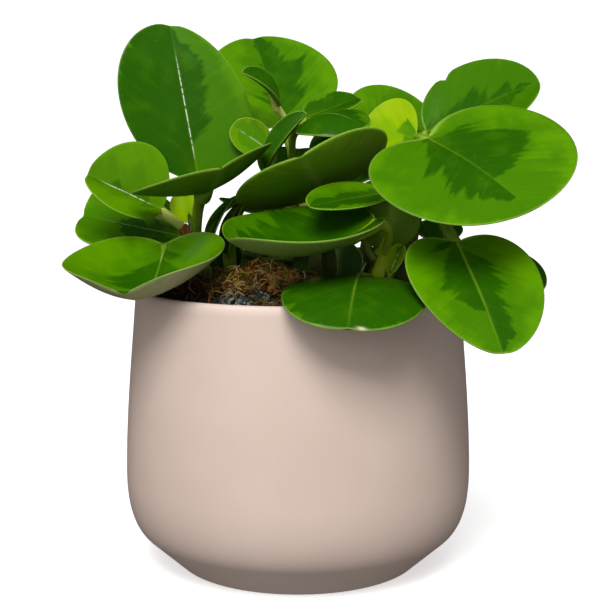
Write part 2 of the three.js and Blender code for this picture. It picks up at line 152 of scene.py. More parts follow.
# %% A tree
class Graph:
    """A node tree, with one method that makes any of its nodes."""

    def __init__(self, tree):
        self.tree = tree
        tree.nodes.clear()

    def node(self, kind, settings, inputs):
        made = self.tree.nodes.new(kind)
        for name, value in settings.items():
            setattr(made, name, value)
        for key, value in inputs.items():
            source = value.socket if isinstance(value, Term) else value
            if isinstance(source, bpy.types.NodeSocket):
                self.tree.links.new(source, made.inputs[key])
            else:
                made.inputs[key].default_value = source
        return made

    def term(self, kind, settings, inputs, output=0):
        return Term(self, self.node(kind, settings, inputs).outputs[output])

    def split(self, vector):
        made = self.node("ShaderNodeSeparateXYZ", {}, {0: vector})
        return [Term(self, made.outputs[axis]) for axis in range(3)]

    def vector(self, x, y, z):
        return self.term("ShaderNodeCombineXYZ", {}, {0: x, 1: y, 2: z})


print("a node is made from its kind, its settings and its inputs")

# %% [markdown]
# ## Finishes
# Each real surface becomes one material. The surface maths feeds only the colour, the roughness
# and the normal of the shader. What is the same all over is set on the shader's own sockets. A
# colour is built like paint: a ground, and then thin layers, each with the share that it covers.

# %% A finish
class Finish(Graph):
    """A material with its Principled shader, and the few helpers that paint it."""

    def __init__(self, name, specular):
        self.material = bpy.data.materials.new(name)
        self.material.use_nodes = True
        super().__init__(self.material.node_tree)
        self.shader = self.node("ShaderNodeBsdfPrincipled", {}, {"Specular IOR Level": specular})
        self.node("ShaderNodeOutputMaterial", {}, {0: self.shader.outputs[0]})

    def place(self):
        """Where a point lies on the object, in millimetres."""
        found = self.node("ShaderNodeTexCoord", {}, {}).outputs["Object"]
        inputs = {0: found, "Scale": 1 / millimetre}
        return self.term("ShaderNodeVectorMath", {"operation": "SCALE"}, inputs)

    def attribute(self, name):
        settings = {"attribute_type": "GEOMETRY", "attribute_name": name}
        return self.split(self.term("ShaderNodeAttribute", settings, {}, 1))

    def own_number(self):
        """The random number from 0 to 1 that a repeated part keeps."""
        settings = {"attribute_type": "GEOMETRY", "attribute_name": "own"}
        return self.term("ShaderNodeAttribute", settings, {}, 2)

    def noise(self, where, grain, detail=2.0, roughness=0.5):
        """Soft noise from 0 to 1 with lumps about `grain` across."""
        inputs = {"Vector": where, "Scale": 1 / grain, "Detail": detail, "Roughness": roughness}
        return self.term("ShaderNodeTexNoise", {}, inputs)

    def layered(self, color, *layers):
        """A colour with others laid over it in turn, each as (share, colour)."""
        for share, over in layers:
            inputs = {0: share, 6: color, 7: over}
            color = self.term("ShaderNodeMix", {"data_type": "RGBA"}, inputs, 2)
        return color

    def finish(self, color, roughness, height=None, depth=0.1):
        """Joins the painted values to the shader. The height is in parts of `depth` millimetres."""
        self.tree.links.new(color.socket, self.shader.inputs["Base Color"])
        self.tree.links.new(roughness.socket, self.shader.inputs["Roughness"])
        if height is not None:
            inputs = {"Strength": 1.0, "Distance": depth * millimetre, "Height": height}
            bump = self.node("ShaderNodeBump", {}, inputs)
            self.tree.links.new(bump.outputs[0], self.shader.inputs["Normal"])
        return self.material


def tone(red, green, blue):
    """A named colour, written as it looks on a screen from 0 to 255, as the shader's own kind."""
    def linear(level):
        share = level / 255
        return share / 12.92 if share <= 0.04045 else ((share + 0.055) / 1.055) ** 2.4
    return (linear(red), linear(green), linear(blue), 1.0)


print("mid grey as the shader has it:", round(tone(128, 128, 128)[0], 3))

# %% [markdown]
# ## Building pieces
# Most pieces here are made of lists of points. One helper joins such lists into a named object on
# its body, and one makes a round tube along a line. Both write where a point lies on its part as
# an attribute, which the finishes read. The others draw a curve and turn a line about the axis.

# %% Piece helpers
def settle(name, mesh, slot, replaced=()):
    """Makes a mesh a piece on its body, and lets it stand for the solids that it dresses."""
    mesh.name = name
    made = bpy.data.objects.new(name, mesh)
    bpy.context.scene.collection.objects.link(made)
    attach(made, "root")
    if replaced:
        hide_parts(*replaced)
    return made


def smooth_mesh(name, points, faces, finishes):
    """A mesh with smooth faces from points in millimetres."""
    mesh = bpy.data.meshes.new(name)
    mesh.from_pydata((points * millimetre).tolist(), [], faces)
    for finish in finishes:
        mesh.materials.append(finish)
    mesh.polygons.foreach_set("use_smooth", [True] * len(faces))
    return mesh


def make_piece(name, parts, finishes, slot, replaced=()):
    """One piece from parts of (points, faces, finish index, attributes)."""
    faces, kinds, first = [], [], 0
    for spots, part_faces, kind, _ in parts:
        faces += [tuple(corner + first for corner in face) for face in part_faces]
        kinds += [kind] * len(part_faces)
        first += len(spots)
    mesh = smooth_mesh(name, np.concatenate([part[0] for part in parts]), faces, finishes)
    mesh.polygons.foreach_set("material_index", kinds)
    for label in sorted({label for part in parts for label in part[3]}):
        rows = [np.broadcast_to(part[3].get(label, (0, 0, 0)), part[0].shape) for part in parts]
        layer = mesh.attributes.new(label, "FLOAT_VECTOR", "POINT")
        layer.data.foreach_set("vector", np.concatenate(rows).astype(np.float32).ravel())
    mesh.validate()
    return settle(name, mesh, slot, replaced)


print("pieces ride on the body root")

# %% Tube helper
def tube(points, radii, sides):
    """A closed round tube along points: its points, its faces and where each point lies on it."""
    points = np.asarray(points, float)
    along = np.gradient(points, axis=0)
    along /= np.linalg.norm(along, axis=1)[:, None]
    side = np.array([1.0, 0.0, 0.0]) if abs(along[0][0]) < 0.9 else np.array([0.0, 1.0, 0.0])
    angles = np.arange(sides) * 2 * math.pi / sides
    spots, marks, travelled = [], [], 0.0
    for i, point in enumerate(points):
        side = side - along[i] * side.dot(along[i])
        side /= np.linalg.norm(side)
        across = np.cross(along[i], side)
        travelled += np.linalg.norm(point - points[max(i - 1, 0)])
        for angle in angles:
            spots.append(point + radii[i] * (side * math.cos(angle) + across * math.sin(angle)))
            marks.append((travelled, angle * radii[i], 0))
    faces = []
    for i in range(len(points) - 1):
        for k in range(sides):
            low, beside = i * sides + k, i * sides + (k + 1) % sides
            faces.append((low, beside, beside + sides, low + sides))
    faces.append(tuple(range(sides - 1, -1, -1)))
    last = (len(points) - 1) * sides
    faces.append(tuple(range(last, last + sides)))
    return np.array(spots), faces, np.array(marks)


print("a short tube has", len(tube([(0, 0, 0), (0, 0, 5)], [1, 1], 8)[1]), "faces")

# %% Line helpers
def bezier(start, start_handle, end_handle, end, count):
    """Points along a cubic curve, both ends included."""
    share = np.linspace(0, 1, count)[:, None]
    left = 1 - share
    corners = [np.asarray(corner, float) for corner in (start, start_handle, end_handle, end)]
    weights = [left**3, 3 * left**2 * share, 3 * left * share**2, share**3]
    return sum(weight * corner for weight, corner in zip(weights, corners))


def joined(*runs):
    """Runs of points as one line, without the points that two runs share."""
    line = [tuple(point) for point in runs[0]]
    for run in runs[1:]:
        line += [tuple(point) for point in run if math.dist(point, line[-1]) > 1e-6]
    return line


def turned(line, sides):
    """The closed surface that a line of (radius, height) sweeps about the upright axis."""
    spots, rings = [], []
    for radius, height in line:
        count = 1 if radius < 1e-6 else sides
        rings.append(range(len(spots), len(spots) + count))
        for k in range(count):
            angle = 2 * math.pi * k / sides
            spots.append((radius * math.cos(angle), radius * math.sin(angle), height))
    faces = []
    for low, high in zip(rings, rings[1:]):
        for k in range(sides):
            a, b = low[k % len(low)], low[(k + 1) % sides % len(low)]
            c, d = high[(k + 1) % sides % len(high)], high[k % len(high)]
            faces.append(tuple(dict.fromkeys((a, b, c, d))))
    return np.array(spots), faces


print("a turned cone has", len(turned([(0, 0), (5, 0), (0, 5)], 8)[1]), "faces")

# %% [markdown]
# ## The pot
# The real pot is cast earthenware: a flat foot, a cone up to a round belly, a gentle taper and a
# rounded lip, under a satin glaze. A shape like that is one line turned about an axis, so the
# line is drawn from the same sizes as the solid's and turned in many more steps. Each curve in
# it is a start, two handles and an end, as (radius, height), and a count of points.

# %% Pot sizes and line
foot_radius, foot_edge = 52, 1.2
shoulder_radius, shoulder_height = 68, 14.5
belly_radius, belly_height = 75, 40
rim_radius, lip_height, pot_height = 70.4, 115, 120
wall, floor_thickness, floor_radius = 5, 7, 58
pot_sides = 96

inner_belly, inner_rim, inner_lip_height = belly_radius - wall, rim_radius - wall, lip_height + 1.5
lip_top = rim_radius - wall / 2
inside_line = joined(
    bezier((0, floor_thickness), (20, floor_thickness), (40, floor_thickness),
           (floor_radius, floor_thickness), 6),
    bezier((floor_radius, floor_thickness), (66, 19), (inner_belly, 27),
           (inner_belly, belly_height), 14),
    bezier((inner_belly, belly_height), (inner_belly, 66), (67, 94),
           (inner_rim, inner_lip_height), 18),
)
outside_line = joined(
    bezier((0, 0), (20, 0), (40, 0), (foot_radius - foot_edge, 0), 6),
    bezier((foot_radius - foot_edge, 0), (foot_radius - 0.3, 0),
           (foot_radius + 0.4, 0.4), (foot_radius + foot_edge, foot_edge), 6),
    [(foot_radius + foot_edge, foot_edge), (shoulder_radius, shoulder_height)],
    bezier((shoulder_radius, shoulder_height), (72.2, 18.6), (belly_radius, 27),
           (belly_radius, belly_height), 16),
    bezier((belly_radius, belly_height), (belly_radius, 66), (72, 94),
           (rim_radius, lip_height), 24),
    bezier((rim_radius, lip_height), (rim_radius - 0.2, 118.6), (lip_top + 1.4, pot_height),
           (lip_top, pot_height), 8),
    bezier((lip_top, pot_height), (lip_top - 1.6, pot_height), (inner_rim, 118.8),
           (inner_rim, inner_lip_height), 8),
)
pot_points, pot_faces = turned(joined(outside_line, inside_line[::-1]), pot_sides)
print("pot:", len(pot_faces), "faces, widest", 2 * belly_radius, "mm")

# %% [markdown]
# The glaze is a warm pinkish taupe. Under a soft light it looks even, but close by it has a fine
# grain, a few faint darker specks of the clay and a slightly thinner, lighter coat along the lip.
# A little of each goes into the colour, and the grain also into the bump.

# %% Satin glaze
glaze = Finish("satin glaze", 0.42)
spot = glaze.place()
drift = glaze.noise(spot, 42, 3)
grain = glaze.noise(spot, 0.55, 3)
speck = glaze.noise(spot, 1.6, 1).step(0.74, 0.8)
lip = glaze.split(spot)[2].step(lip_height, pot_height - 0.5)
color = glaze.layered(
    tone(205, 184, 172),
    (drift.step(0.3, 0.7) * 0.5, tone(196, 173, 160)),
    (lip * 0.25, tone(218, 203, 194)),
    (speck * 0.12, tone(140, 112, 98)),
)
glaze_finish = glaze.finish(color, 0.44 + drift * 0.08, grain + drift, 0.05)

pot = make_piece("pot_glazed", [(pot_points, pot_faces, 0, {})], [glaze_finish], "pot", ["pot"])
print("pot bounds:", [round(side * 1000) for side in pot.dimensions])

# %% [markdown]
# ## Soil
# Under the leaves lies dark, damp potting soil with a lumpy top. Its body follows the inside of
# the pot with a small gap. The top is the solid's own relief with finer lumps laid over it.

# %% Soil body
soil_level, soil_relief, seat_gap = 113, 1.1, 0.3
soil_sides, soil_rings = 120, 34
soil_edge = inner_rim - seat_gap - 0.4
lump_roughness, lump_growth, lump_layers = 0.8, 2.1, 3
soil_lump, moss_lump = 3.5, 2.2


def soil_height(x, y):
    """Height of the soil's top, as the solid has it."""
    lumps = math.sin(x / 7 + 1) * math.cos(y / 6) + 0.6 * math.sin((x - y) / 11)
    away = math.hypot(x, y) / rim_radius
    return soil_level + 3 * (1 - away * away) + soil_relief * lumps


def fine_lump(place):
    """Small lumps above and below nought."""
    return noise.fractal(place, lump_roughness, lump_growth, lump_layers)


soil_line = [(max(r - seat_gap, 0), h + seat_gap) for r, h in inside_line if h < soil_level - 6]
soil_line += [(soil_edge * (1 - ring / soil_rings), soil_level) for ring in range(soil_rings + 1)]
soil_points, soil_faces = turned(soil_line, soil_sides)
for point in soil_points:
    if point[2] > soil_level - 1:
        lump = fine_lump(Vector(point / soil_lump))
        point[2] = soil_height(point[0], point[1]) + 0.8 * lump - 0.4

earth = Finish("damp soil", 0.25)
spot = earth.place()
clods, grains = earth.noise(spot, 6, 4), earth.noise(spot, 1.1, 4, 0.7)
color = earth.layered(
    tone(34, 24, 17),
    (clods, tone(62, 44, 30)),
    (grains.step(0.55, 0.75) * 0.6, tone(92, 70, 48)),
)
earth_finish = earth.finish(color, 0.82 + grains * 0.15, grains + clods, 0.9)

on_top = soil_points[:, 2] > soil_level - 1
behind = np.clip((soil_points[:, 0] + 30) / 20, 0, 1) * np.clip((soil_points[:, 1] + 26) / 12, 0, 1)
soil_marks = np.stack([0 * behind, behind * on_top, on_top], axis=1)
soil_part = (soil_points, soil_faces, 0, {"mossy": soil_marks})
soil = make_piece("soil_top", [soil_part], [earth_finish], "soil", ["soil"])
print("soil:", len(soil_faces), "faces")

# %% [markdown]
# ## Moss mat
# A pad of moss and old roots covers the soil along the front, with a mound near the middle. The
# pad itself is only the dark ground of it. What the eye sees are the fibres, which come next.

# %% Moss pad
moss_thickness, moss_mound, moss_clearance = 6, 9, 0.8
mound_x, mound_y, mound_spread = -14, -38, 200
moss_from, moss_to = math.radians(150), math.radians(308)
moss_inner, moss_outer = 24, inner_rim - 1.5
moss_turns, moss_rings = 100, 30


def moss_sheet(upper):
    """One sheet of the pad, with how near the mound, how mossy and how upper each point is."""
    spots, marks = [], []
    for ring in range(moss_rings + 1):
        for turn in range(moss_turns + 1):
            radius = moss_inner + (moss_outer - moss_inner) * ring / moss_rings
            angle = moss_from + (moss_to - moss_from) * turn / moss_turns
            x, y = radius * math.cos(angle), radius * math.sin(angle)
            across = min(1, 2.5 * math.sin(math.pi * turn / moss_turns))
            inward = 1 - 0.5 * (2 * ring / moss_rings - 1) ** 4
            tufts = 0.75 + 0.25 * math.sin(x / 3.1) * math.cos(y / 2.7 + 1)
            mound = math.exp(-((x - mound_x) ** 2 + (y - mound_y) ** 2) / mound_spread)
            top = 1 + (moss_thickness + moss_mound * mound) * across * inward * tufts
            top += 0.7 * fine_lump(Vector((x, y, 0)) / moss_lump) * across * inward
            base = soil_height(x, y) + moss_clearance - 0.6
            spots.append((x, y, base + (max(top, 0.6) if upper else 0)))
            marks.append((mound, across * inward, upper))
    return spots, marks


def moss_pad_faces():
    """The faces of both sheets and of the wall between them."""
    faces = []
    width = moss_turns + 1
    count = (moss_rings + 1) * width
    for ring in range(moss_rings):
        for turn in range(moss_turns):
            a = ring * width + turn
            faces.append((a, a + width, a + width + 1, a + 1))
            faces.append((a + count, a + 1 + count, a + width + 1 + count, a + width + count))
    edge = list(range(moss_turns))
    edge += [ring * width + moss_turns for ring in range(moss_rings)]
    edge += [moss_rings * width + turn for turn in range(moss_turns, 0, -1)]
    edge += [ring * width for ring in range(moss_rings, 0, -1)]
    for here, there in zip(edge, edge[1:] + edge[:1]):
        faces.append((here, there, there + count, here + count))
    return faces


upper_sheet, lower_sheet = moss_sheet(1), moss_sheet(0)
pad_points, pad_marks = (np.array(top + low) for top, low in zip(upper_sheet, lower_sheet))
pad_faces = moss_pad_faces()
print("moss pad:", len(pad_faces), "faces")

# %% Pad finish
pad = Finish("moss pad", 0.2)
spot = pad.place()
tufts, strands = pad.noise(spot, 5, 4), pad.noise(spot, 0.9, 3, 0.7)
color = pad.layered(
    tone(28, 20, 9),
    (tufts.step(0.35, 0.65), tone(58, 36, 14)),
    (strands.step(0.5, 0.7) * 0.5, tone(74, 70, 26)),
)
pad_finish = pad.finish(color, 0.9 + strands * 0.08, strands + tufts, 1.2)
pad_part = (pad_points, pad_faces, 0, {"mossy": pad_marks})
moss = make_piece("moss_pad", [pad_part], [pad_finish], "moss", ["moss"])
print("moss pad bounds:", [round(side * 1000) for side in moss.dimensions])

# %% [markdown]
# ## Rule-made shapes
# Fibres, crumbs and leaf blades each follow a rule, so each is a tree of geometry nodes with
# named inputs. One class makes such a tree, gives its inputs their values, and turns the result
# into a plain mesh, because an export keeps no live modifier and no instances.

# %% A shape tree
class Shape(Graph):
    """A geometry node tree with named inputs, given as a name and its usual value."""

    def __init__(self, name, **sizes):
        super().__init__(bpy.data.node_groups.new(name, "GeometryNodeTree"))
        self.names = {}
        self.add_input("mesh", "NodeSocketGeometry")
        self.add_input("finish", "NodeSocketMaterial")
        for size, value in sizes.items():
            self.add_input(size, "NodeSocketFloat").default_value = value
        self.tree.interface.new_socket("mesh", in_out="OUTPUT", socket_type="NodeSocketGeometry")
        self.start = self.node("NodeGroupInput", {}, {})

    def add_input(self, name, kind):
        made = self.tree.interface.new_socket(name, in_out="INPUT", socket_type=kind)
        self.names[name] = made.identifier
        return made

    def size(self, name):
        return Term(self, self.start.outputs[name])

    def position(self):
        return self.term("GeometryNodeInputPosition", {}, {})

    def attribute(self, name, kind):
        return self.term("GeometryNodeInputNamedAttribute", {"data_type": kind}, {"Name": name})

    def store(self, geometry, name, value, kind="FLOAT_VECTOR", domain="POINT"):
        settings = {"data_type": kind, "domain": domain}
        inputs = {"Geometry": geometry, "Name": name, "Value": value}
        return self.term("GeometryNodeStoreNamedAttribute", settings, inputs)

    def shift(self, geometry, **where):
        """Moves points by an Offset, or to a Position."""
        return self.term("GeometryNodeSetPosition", {}, {"Geometry": geometry} | where)

    def end(self, geometry):
        """Ends the tree: instances made real, the finish set, all faces smooth."""
        real = self.term("GeometryNodeRealizeInstances", {}, {0: geometry})
        smooth = self.term("GeometryNodeSetShadeSmooth", {}, {0: real})
        inputs = {"Geometry": smooth, "Material": self.size("finish")}
        done = self.term("GeometryNodeSetMaterial", {}, inputs)
        self.node("NodeGroupOutput", {}, {0: done})

    def make(self, source, finish, **sizes):
        """The plain mesh that the tree makes of a source mesh."""
        holder = bpy.data.objects.new("holder", source)
        bpy.context.scene.collection.objects.link(holder)
        modifier = holder.modifiers.new("shape", "NODES")
        modifier.node_group = self.tree
        modifier[self.names["finish"]] = finish
        for size, value in sizes.items():
            modifier[self.names[size]] = float(value)
        bpy.context.view_layer.update()
        ready = holder.evaluated_get(bpy.context.evaluated_depsgraph_get())
        mesh = bpy.data.meshes.new_from_object(ready)
        bpy.data.objects.remove(holder)
        return mesh


print("shape trees end in real geometry")

# %% [markdown]
# Fibres and crumbs are scattered in the same way: points at random over a finished piece, a copy
# of a small form on each, turned and stretched at random, and every point of the copies then
# pushed a little by noise, so that no two copies stay alike.

# %% A scattering tree
class Scatter(Shape):
    """A shape tree that scatters copies of a form. The seeds of its draws follow on the first."""

    def draw(self, kind, inputs, output=0):
        """One random draw, another for each copy."""
        self.seed += 1
        inputs = inputs | {"Seed": self.seed}
        return self.term("FunctionNodeRandomValue", {"data_type": kind}, inputs, output)

    def scattered(self, density, first_seed):
        """Points over the source mesh."""
        self.seed = first_seed
        inputs = {"Mesh": self.size("mesh"), "Density": density, "Seed": first_seed}
        settings = {"distribute_method": "RANDOM"}
        return self.term("GeometryNodeDistributePointsOnFaces", settings, inputs)

    def planted(self, spots, form, turn, stretch):
        """Real copies of a form on points. Each copy keeps a number of its own."""
        placed = self.term("GeometryNodeInstanceOnPoints", {}, {
            "Points": spots, "Instance": form, "Rotation": turn, "Scale": stretch})
        placed = self.store(placed, "own", self.draw("FLOAT", {}, 1), "FLOAT", "INSTANCE")
        return self.term("GeometryNodeRealizeInstances", {}, {0: placed})

    def pushed(self, geometry, bend, middle, depth):
        """Moves each point by noise, counted from the middle of the noise's range."""
        push = self.term("ShaderNodeVectorMath", {"operation": "SUBTRACT"}, {0: bend, 1: middle})
        inputs = {0: push, "Scale": depth * 3}
        push = self.term("ShaderNodeVectorMath", {"operation": "SCALE"}, inputs)
        return self.shift(geometry, Offset=push)


print("scattering adds", [name for name in vars(Scatter) if name[0] != "_"])

# %% [markdown]
# ## Moss fibres
# The fibres are scattered over the pad, thickest on the mound and thin along the pot's wall. Each
# starts as a short open curl lying at a random slant, and noise then bends it. Because the noise
# differs from fibre to fibre, neighbours curl in their own ways and tangle. All of them stay
# inside the pot's wall.

# %% Fibre tree
full_turn = 6.28
curl_steps, fibre_points = 40, 11
wall_near, wall_nearest = 0.0525, 0.056
fibres = Scatter("moss_fibres", density=620000, length=0.016, turns=1.2, thickness=0.0004,
                 curl=0.007, wall_inside=0.0642, lean_least=-0.9, lean_most=0.9)
mound, middle, upper = fibres.split(fibres.attribute("mossy", "FLOAT_VECTOR"))
x, y, _ = fibres.split(fibres.position())
by_wall = (x * x + y * y).root().step(wall_near, wall_nearest)
wanted = fibres.size("density") * upper * (mound * 0.8 + middle * 0.35) * (1 - by_wall * 0.85)
spots = fibres.scattered(wanted, 11)
bow = fibres.size("length") / (fibres.size("turns") * full_turn)
line = fibres.term("GeometryNodeCurveSpiral", {}, {
    "Resolution": curl_steps, "Rotations": fibres.size("turns"), "Start Radius": bow,
    "End Radius": bow * 0.7, "Height": bow * 0.8})
line = fibres.term("GeometryNodeResampleCurve", {}, {"Curve": line, "Count": fibre_points})
line = fibres.shift(line, Offset=fibres.vector(-bow, 0, 0))
slant = fibres.draw("FLOAT_VECTOR", {
    "Min": fibres.vector(fibres.size("lean_least"), -0.7, -math.pi),
    "Max": fibres.vector(fibres.size("lean_most"), 0.7, math.pi)})
length = fibres.draw("FLOAT", {"Min": 0.45, "Max": 1.35}, 1)
threads = fibres.planted(spots, line, slant, length)

own = fibres.attribute("own", "FLOAT")
bend = fibres.term("ShaderNodeTexNoise", {"noise_dimensions": "4D"}, {
    "Vector": fibres.position(), "W": own * 40, "Scale": 230.0, "Detail": 1.5}, 1)
threads = fibres.pushed(threads, bend, (0.5, 0.5, 0.42), fibres.size("curl"))
x, y, z = fibres.split(fibres.position())
inward = (fibres.size("wall_inside") / (x * x + y * y).root()).least(1)
threads = fibres.shift(threads, Position=fibres.vector(x * inward, y * inward, z))
ring = fibres.term("GeometryNodeCurvePrimitiveCircle", {}, {
    "Resolution": 3, "Radius": fibres.size("thickness") * 0.5})
fibres.end(fibres.term("GeometryNodeCurveToMesh", {}, {
    "Curve": threads, "Profile Curve": ring, "Fill Caps": True}))
print("fibre tree:", len(fibres.tree.nodes), "nodes")

# %% [markdown]
# Old fibres are rust brown and tan, a few are straw, and fresh moss is olive. The number that
# each fibre keeps picks its colour, so that single fibres stand out as they do in the real mat.
# Away from the mound the fibres lie in shade, and that shade is painted on them as dark brown.

# %% Moss fibres
fibre = Finish("moss fibre", 0.3)
own = fibre.own_number()
along = fibre.noise(fibre.place(), 4, 2)
x, y, _ = fibre.split(fibre.place())
# Painted shade: the fibres away from the mound are darkened towards dark brown.
off_mound = ((x - mound_x).size() ** 2 + (y - mound_y).size() ** 2).root().step(9, 21)
color = fibre.layered(
    tone(124, 52, 18),
    (own.step(0.15, 0.25), tone(206, 112, 40)),
    (own.step(0.3, 0.35), tone(250, 194, 96)),
    (own.step(0.58, 0.62), tone(182, 170, 46)),
    (own.step(0.7, 0.74), tone(80, 106, 24)),
    (own.step(0.84, 0.87), tone(252, 228, 158)),
    (along.step(0.5, 0.8) * 0.4, tone(84, 44, 18)),
    (off_mound * 0.8, tone(50, 36, 14)),
)
fibre_finish = fibre.finish(color, 0.55 + along * 0.2, along, 0.05)

fibre_mesh = fibres.make(moss.data, fibre_finish)
settle("moss_fibres", fibre_mesh, "moss")
print("moss fibres:", len(fibre_mesh.polygons), "faces")

# %% [markdown]
# Behind the moss, thin pale roots and hairs stand up from the dark soil between the stems. The
# same tree makes them, from the soil's top, longer, thinner and nearly upright.

# %% Hairs
hair = Finish("dry hair", 0.3)
own = hair.own_number()
color = hair.layered(tone(112, 92, 60), (own.step(0.2, 0.6), tone(222, 214, 190)))
hair_finish = hair.finish(color, own * 0.2 + 0.5)
hair_mesh = fibres.make(soil.data, hair_finish, density=160000, length=0.022, turns=0.12,
                        thickness=0.0003, curl=0.006, lean_least=0.8, lean_most=2.2)
settle("soil_hairs", hair_mesh, "soil")
print("hairs:", len(hair_mesh.polygons), "faces")

# %% [markdown]
# ## Soil crumbs
# Crumbs of bark, peat and grit lie loose on the soil. They are small balls of a few dozen faces,
# stretched and turned at random, and dented by noise. Most are between one and three millimetres.

# %% Crumb tree
soil_reach = 0.0625
crumbs = Scatter("soil_crumbs", density=60000, size=0.0011, dent=0.0006, away_least=0.0)
x, y, z = crumbs.split(crumbs.position())
away = (x * x + y * y).root()
on_top = z.above((soil_level - 2) * millimetre) * (soil_reach - away).above(0)
on_top = on_top * (away - crumbs.size("away_least")).above(0)
spots = crumbs.scattered(crumbs.size("density") * on_top, 21)
ball = crumbs.term("GeometryNodeMeshIcoSphere", {}, {
    "Radius": crumbs.size("size"), "Subdivisions": 2})
turn = crumbs.draw("FLOAT_VECTOR", {"Min": (-math.pi,) * 3, "Max": (math.pi,) * 3})
stretch = crumbs.draw("FLOAT_VECTOR", {"Min": (0.4, 0.4, 0.4), "Max": (1.7, 1.1, 1.0)})
loose = crumbs.planted(spots, ball, turn, stretch)
dents = crumbs.term("ShaderNodeTexNoise", {}, {
    "Vector": crumbs.position(), "Scale": 900.0, "Detail": 1.0}, 1)
crumbs.end(crumbs.pushed(loose, dents, (0.5, 0.5, 0.45), crumbs.size("dent")))
print("crumb tree:", len(crumbs.tree.nodes), "nodes")

# %% Crumbs
crumb = Finish("soil crumb", 0.3)
own = crumb.own_number()
grain = crumb.noise(crumb.place(), 0.8, 3)
color = crumb.layered(
    tone(38, 27, 20),
    (own.step(0.3, 0.7), tone(82, 58, 38)),
    (own.step(0.82, 0.84), tone(84, 92, 88)),
    (own.step(0.96, 0.97), tone(176, 166, 146)),
    (grain * 0.4, tone(24, 18, 14)),
)
crumb_finish = crumb.finish(color, 0.75 + grain * 0.2, grain, 0.2)
crumb_mesh = crumbs.make(soil.data, crumb_finish)
settle("soil_crumbs", crumb_mesh, "soil")
print("soil crumbs:", len(crumb_mesh.polygons), "faces")

# %% [markdown]
# Along the pot's front wall the moss holds blue grey grit. It is the same tree on the moss pad,
# kept to a narrow band there. Away from the front of the mound the grit is darkened as painted
# shade, so only the grit in front of the mound shows.

# %% Grit
grit = Finish("blue grey grit", 0.35)
own = grit.own_number()
grain = grit.noise(grit.place(), 0.7, 3)
# Painted shade: grit away from the front of the mound is darkened.
off_mound = (grit.split(grit.place())[0] - mound_x).size().step(11, 18)
color = grit.layered(
    tone(54, 64, 66),
    (own.step(0.2, 0.8), tone(118, 128, 124)),
    (grain * 0.4, tone(36, 40, 38)),
    (off_mound * 0.9, tone(28, 24, 16)),
)
grit_finish = grit.finish(color, grain * 0.2 + 0.6, grain, 0.2)
grit_mesh = crumbs.make(moss.data, grit_finish, density=300000, size=0.0009, away_least=0.0535)
settle("moss_grit", grit_mesh, "moss")
print("grit:", len(grit_mesh.polygons), "faces")

# %% [markdown]
# ## The leaf blade
# A blade is widest near its middle, thick, and rounded along its margin. It is cupped, arched and
# grooved along its midrib by simple rules, so one tree makes every blade from named sizes. A grid
# is spread over the blade with more lines near the midrib and the margin, and is made twice, once
# for each face. The two faces meet where the thickness falls to nothing, and are welded there.
# The rule first finds the half width at a share u of the length. From there it finds how far a
# point lies from the margin, how high it rises, and how the lobes beside the petiole turn back.

# %% Blade rule
blade_rows, blade_columns = 38, 26
tear_width, tear_depth = 0.035, 0.12
ripple_scale, ripple_reach = 0.035, 12
groove_width, tip_width = 1.3, 3.2
blades = Shape("blade", length=60, width=50, full=0.5, lobe_left=0, lobe_right=0, sweep=0, arch=0,
               cup_left=0.1, cup_right=0.1, bowl=1.7, lift=0, thickness=1.3, groove=0.5,
               collar=1.2, dent=0.8, notch_at=0.5, notch_side=0, wave=0.5, seed=0)


def eased(share):
    """Crowds values from 0 to 1 towards both ends."""
    return (1 - (share * math.pi).cosine()) * 0.5


def blade_rule():
    """Where each grid point lies on the blade, and where the rule puts it."""
    size = blades.size
    x, y, _ = blades.split(blades.position())
    u = eased(x + 0.5) * 0.998 + 0.001
    side = y.above(0)
    v = eased(y.size() * 2) * (side * 2 - 1)
    full, length = size("full"), size("length")
    peak = full**full * (1 - full) ** (1 - full)
    half = size("width") * 0.5 * (u**full) * ((1 - u) ** (1 - full)) / peak
    torn = (u - size("notch_at")).bell(tear_width) * size("notch_side").size()
    torn = torn * (side * 2 - 1) * size("notch_side")
    half = half * (1 - torn.most(0) * tear_depth)
    across = v * half
    slope = half * half * (full / u - (1 - full) / (1 - u)) / length
    margin = (half * half - across * across) / (2 * (slope * slope + across * across).root() + 0.01)
    margin = margin.most(0)
    along = u * length
    cup = side * size("cup_left") + (1 - side) * size("cup_right")
    rise = size("arch") * length * 4 * u * (1 - u) + size("lift") * length * u**3
    rise = rise + cup * half * v.size() ** size("bowl")
    where = blades.vector(along, across, size("seed") * 30)
    inputs = {"Vector": where, "Scale": ripple_scale, "Detail": 1.0}
    ripple = blades.term("ShaderNodeTexNoise", {}, inputs)
    rise = rise + (ripple - 0.5) * size("wave") * 3 * margin.step(0, ripple_reach)
    rise = rise - across.bell(groove_width) * size("groove") * (1 - u).root() * u.step(0, 0.06)
    lobe = side * size("lobe_left") + (1 - side) * size("lobe_right")
    turn = lobe * v * v * (1 - u) ** 3
    sine, cosine = turn.sine(), turn.cosine()
    pulled = across.bell(tip_width) * u.step(0.93, 1) * size("dent")
    forward = along * cosine - across.size() * sine + size("sweep") * across - pulled
    sideways = (across.size() * cosine + along * sine) * (side * 2 - 1)
    return u, v, along, across, margin, rise, forward, sideways


u, v, along, across, margin, rise, forward, sideways = blade_rule()
print("blade rule:", len(blades.tree.nodes), "nodes")

# %% Blade tree
weld_distance = 0.0005
collar_reach, collar_width = 7, 3.4
round_edge = (margin / (blades.size("thickness") * 0.5)).least(1)
slim = 0.72 + margin.step(0, 9) * 0.28
offset = (round_edge * (2 - round_edge)).root() * blades.size("thickness") * 0.5 * slim
swell = (along / collar_reach).bell(1) * across.bell(collar_width)
swell = swell * blades.size("collar") * margin.step(0, 1.5)


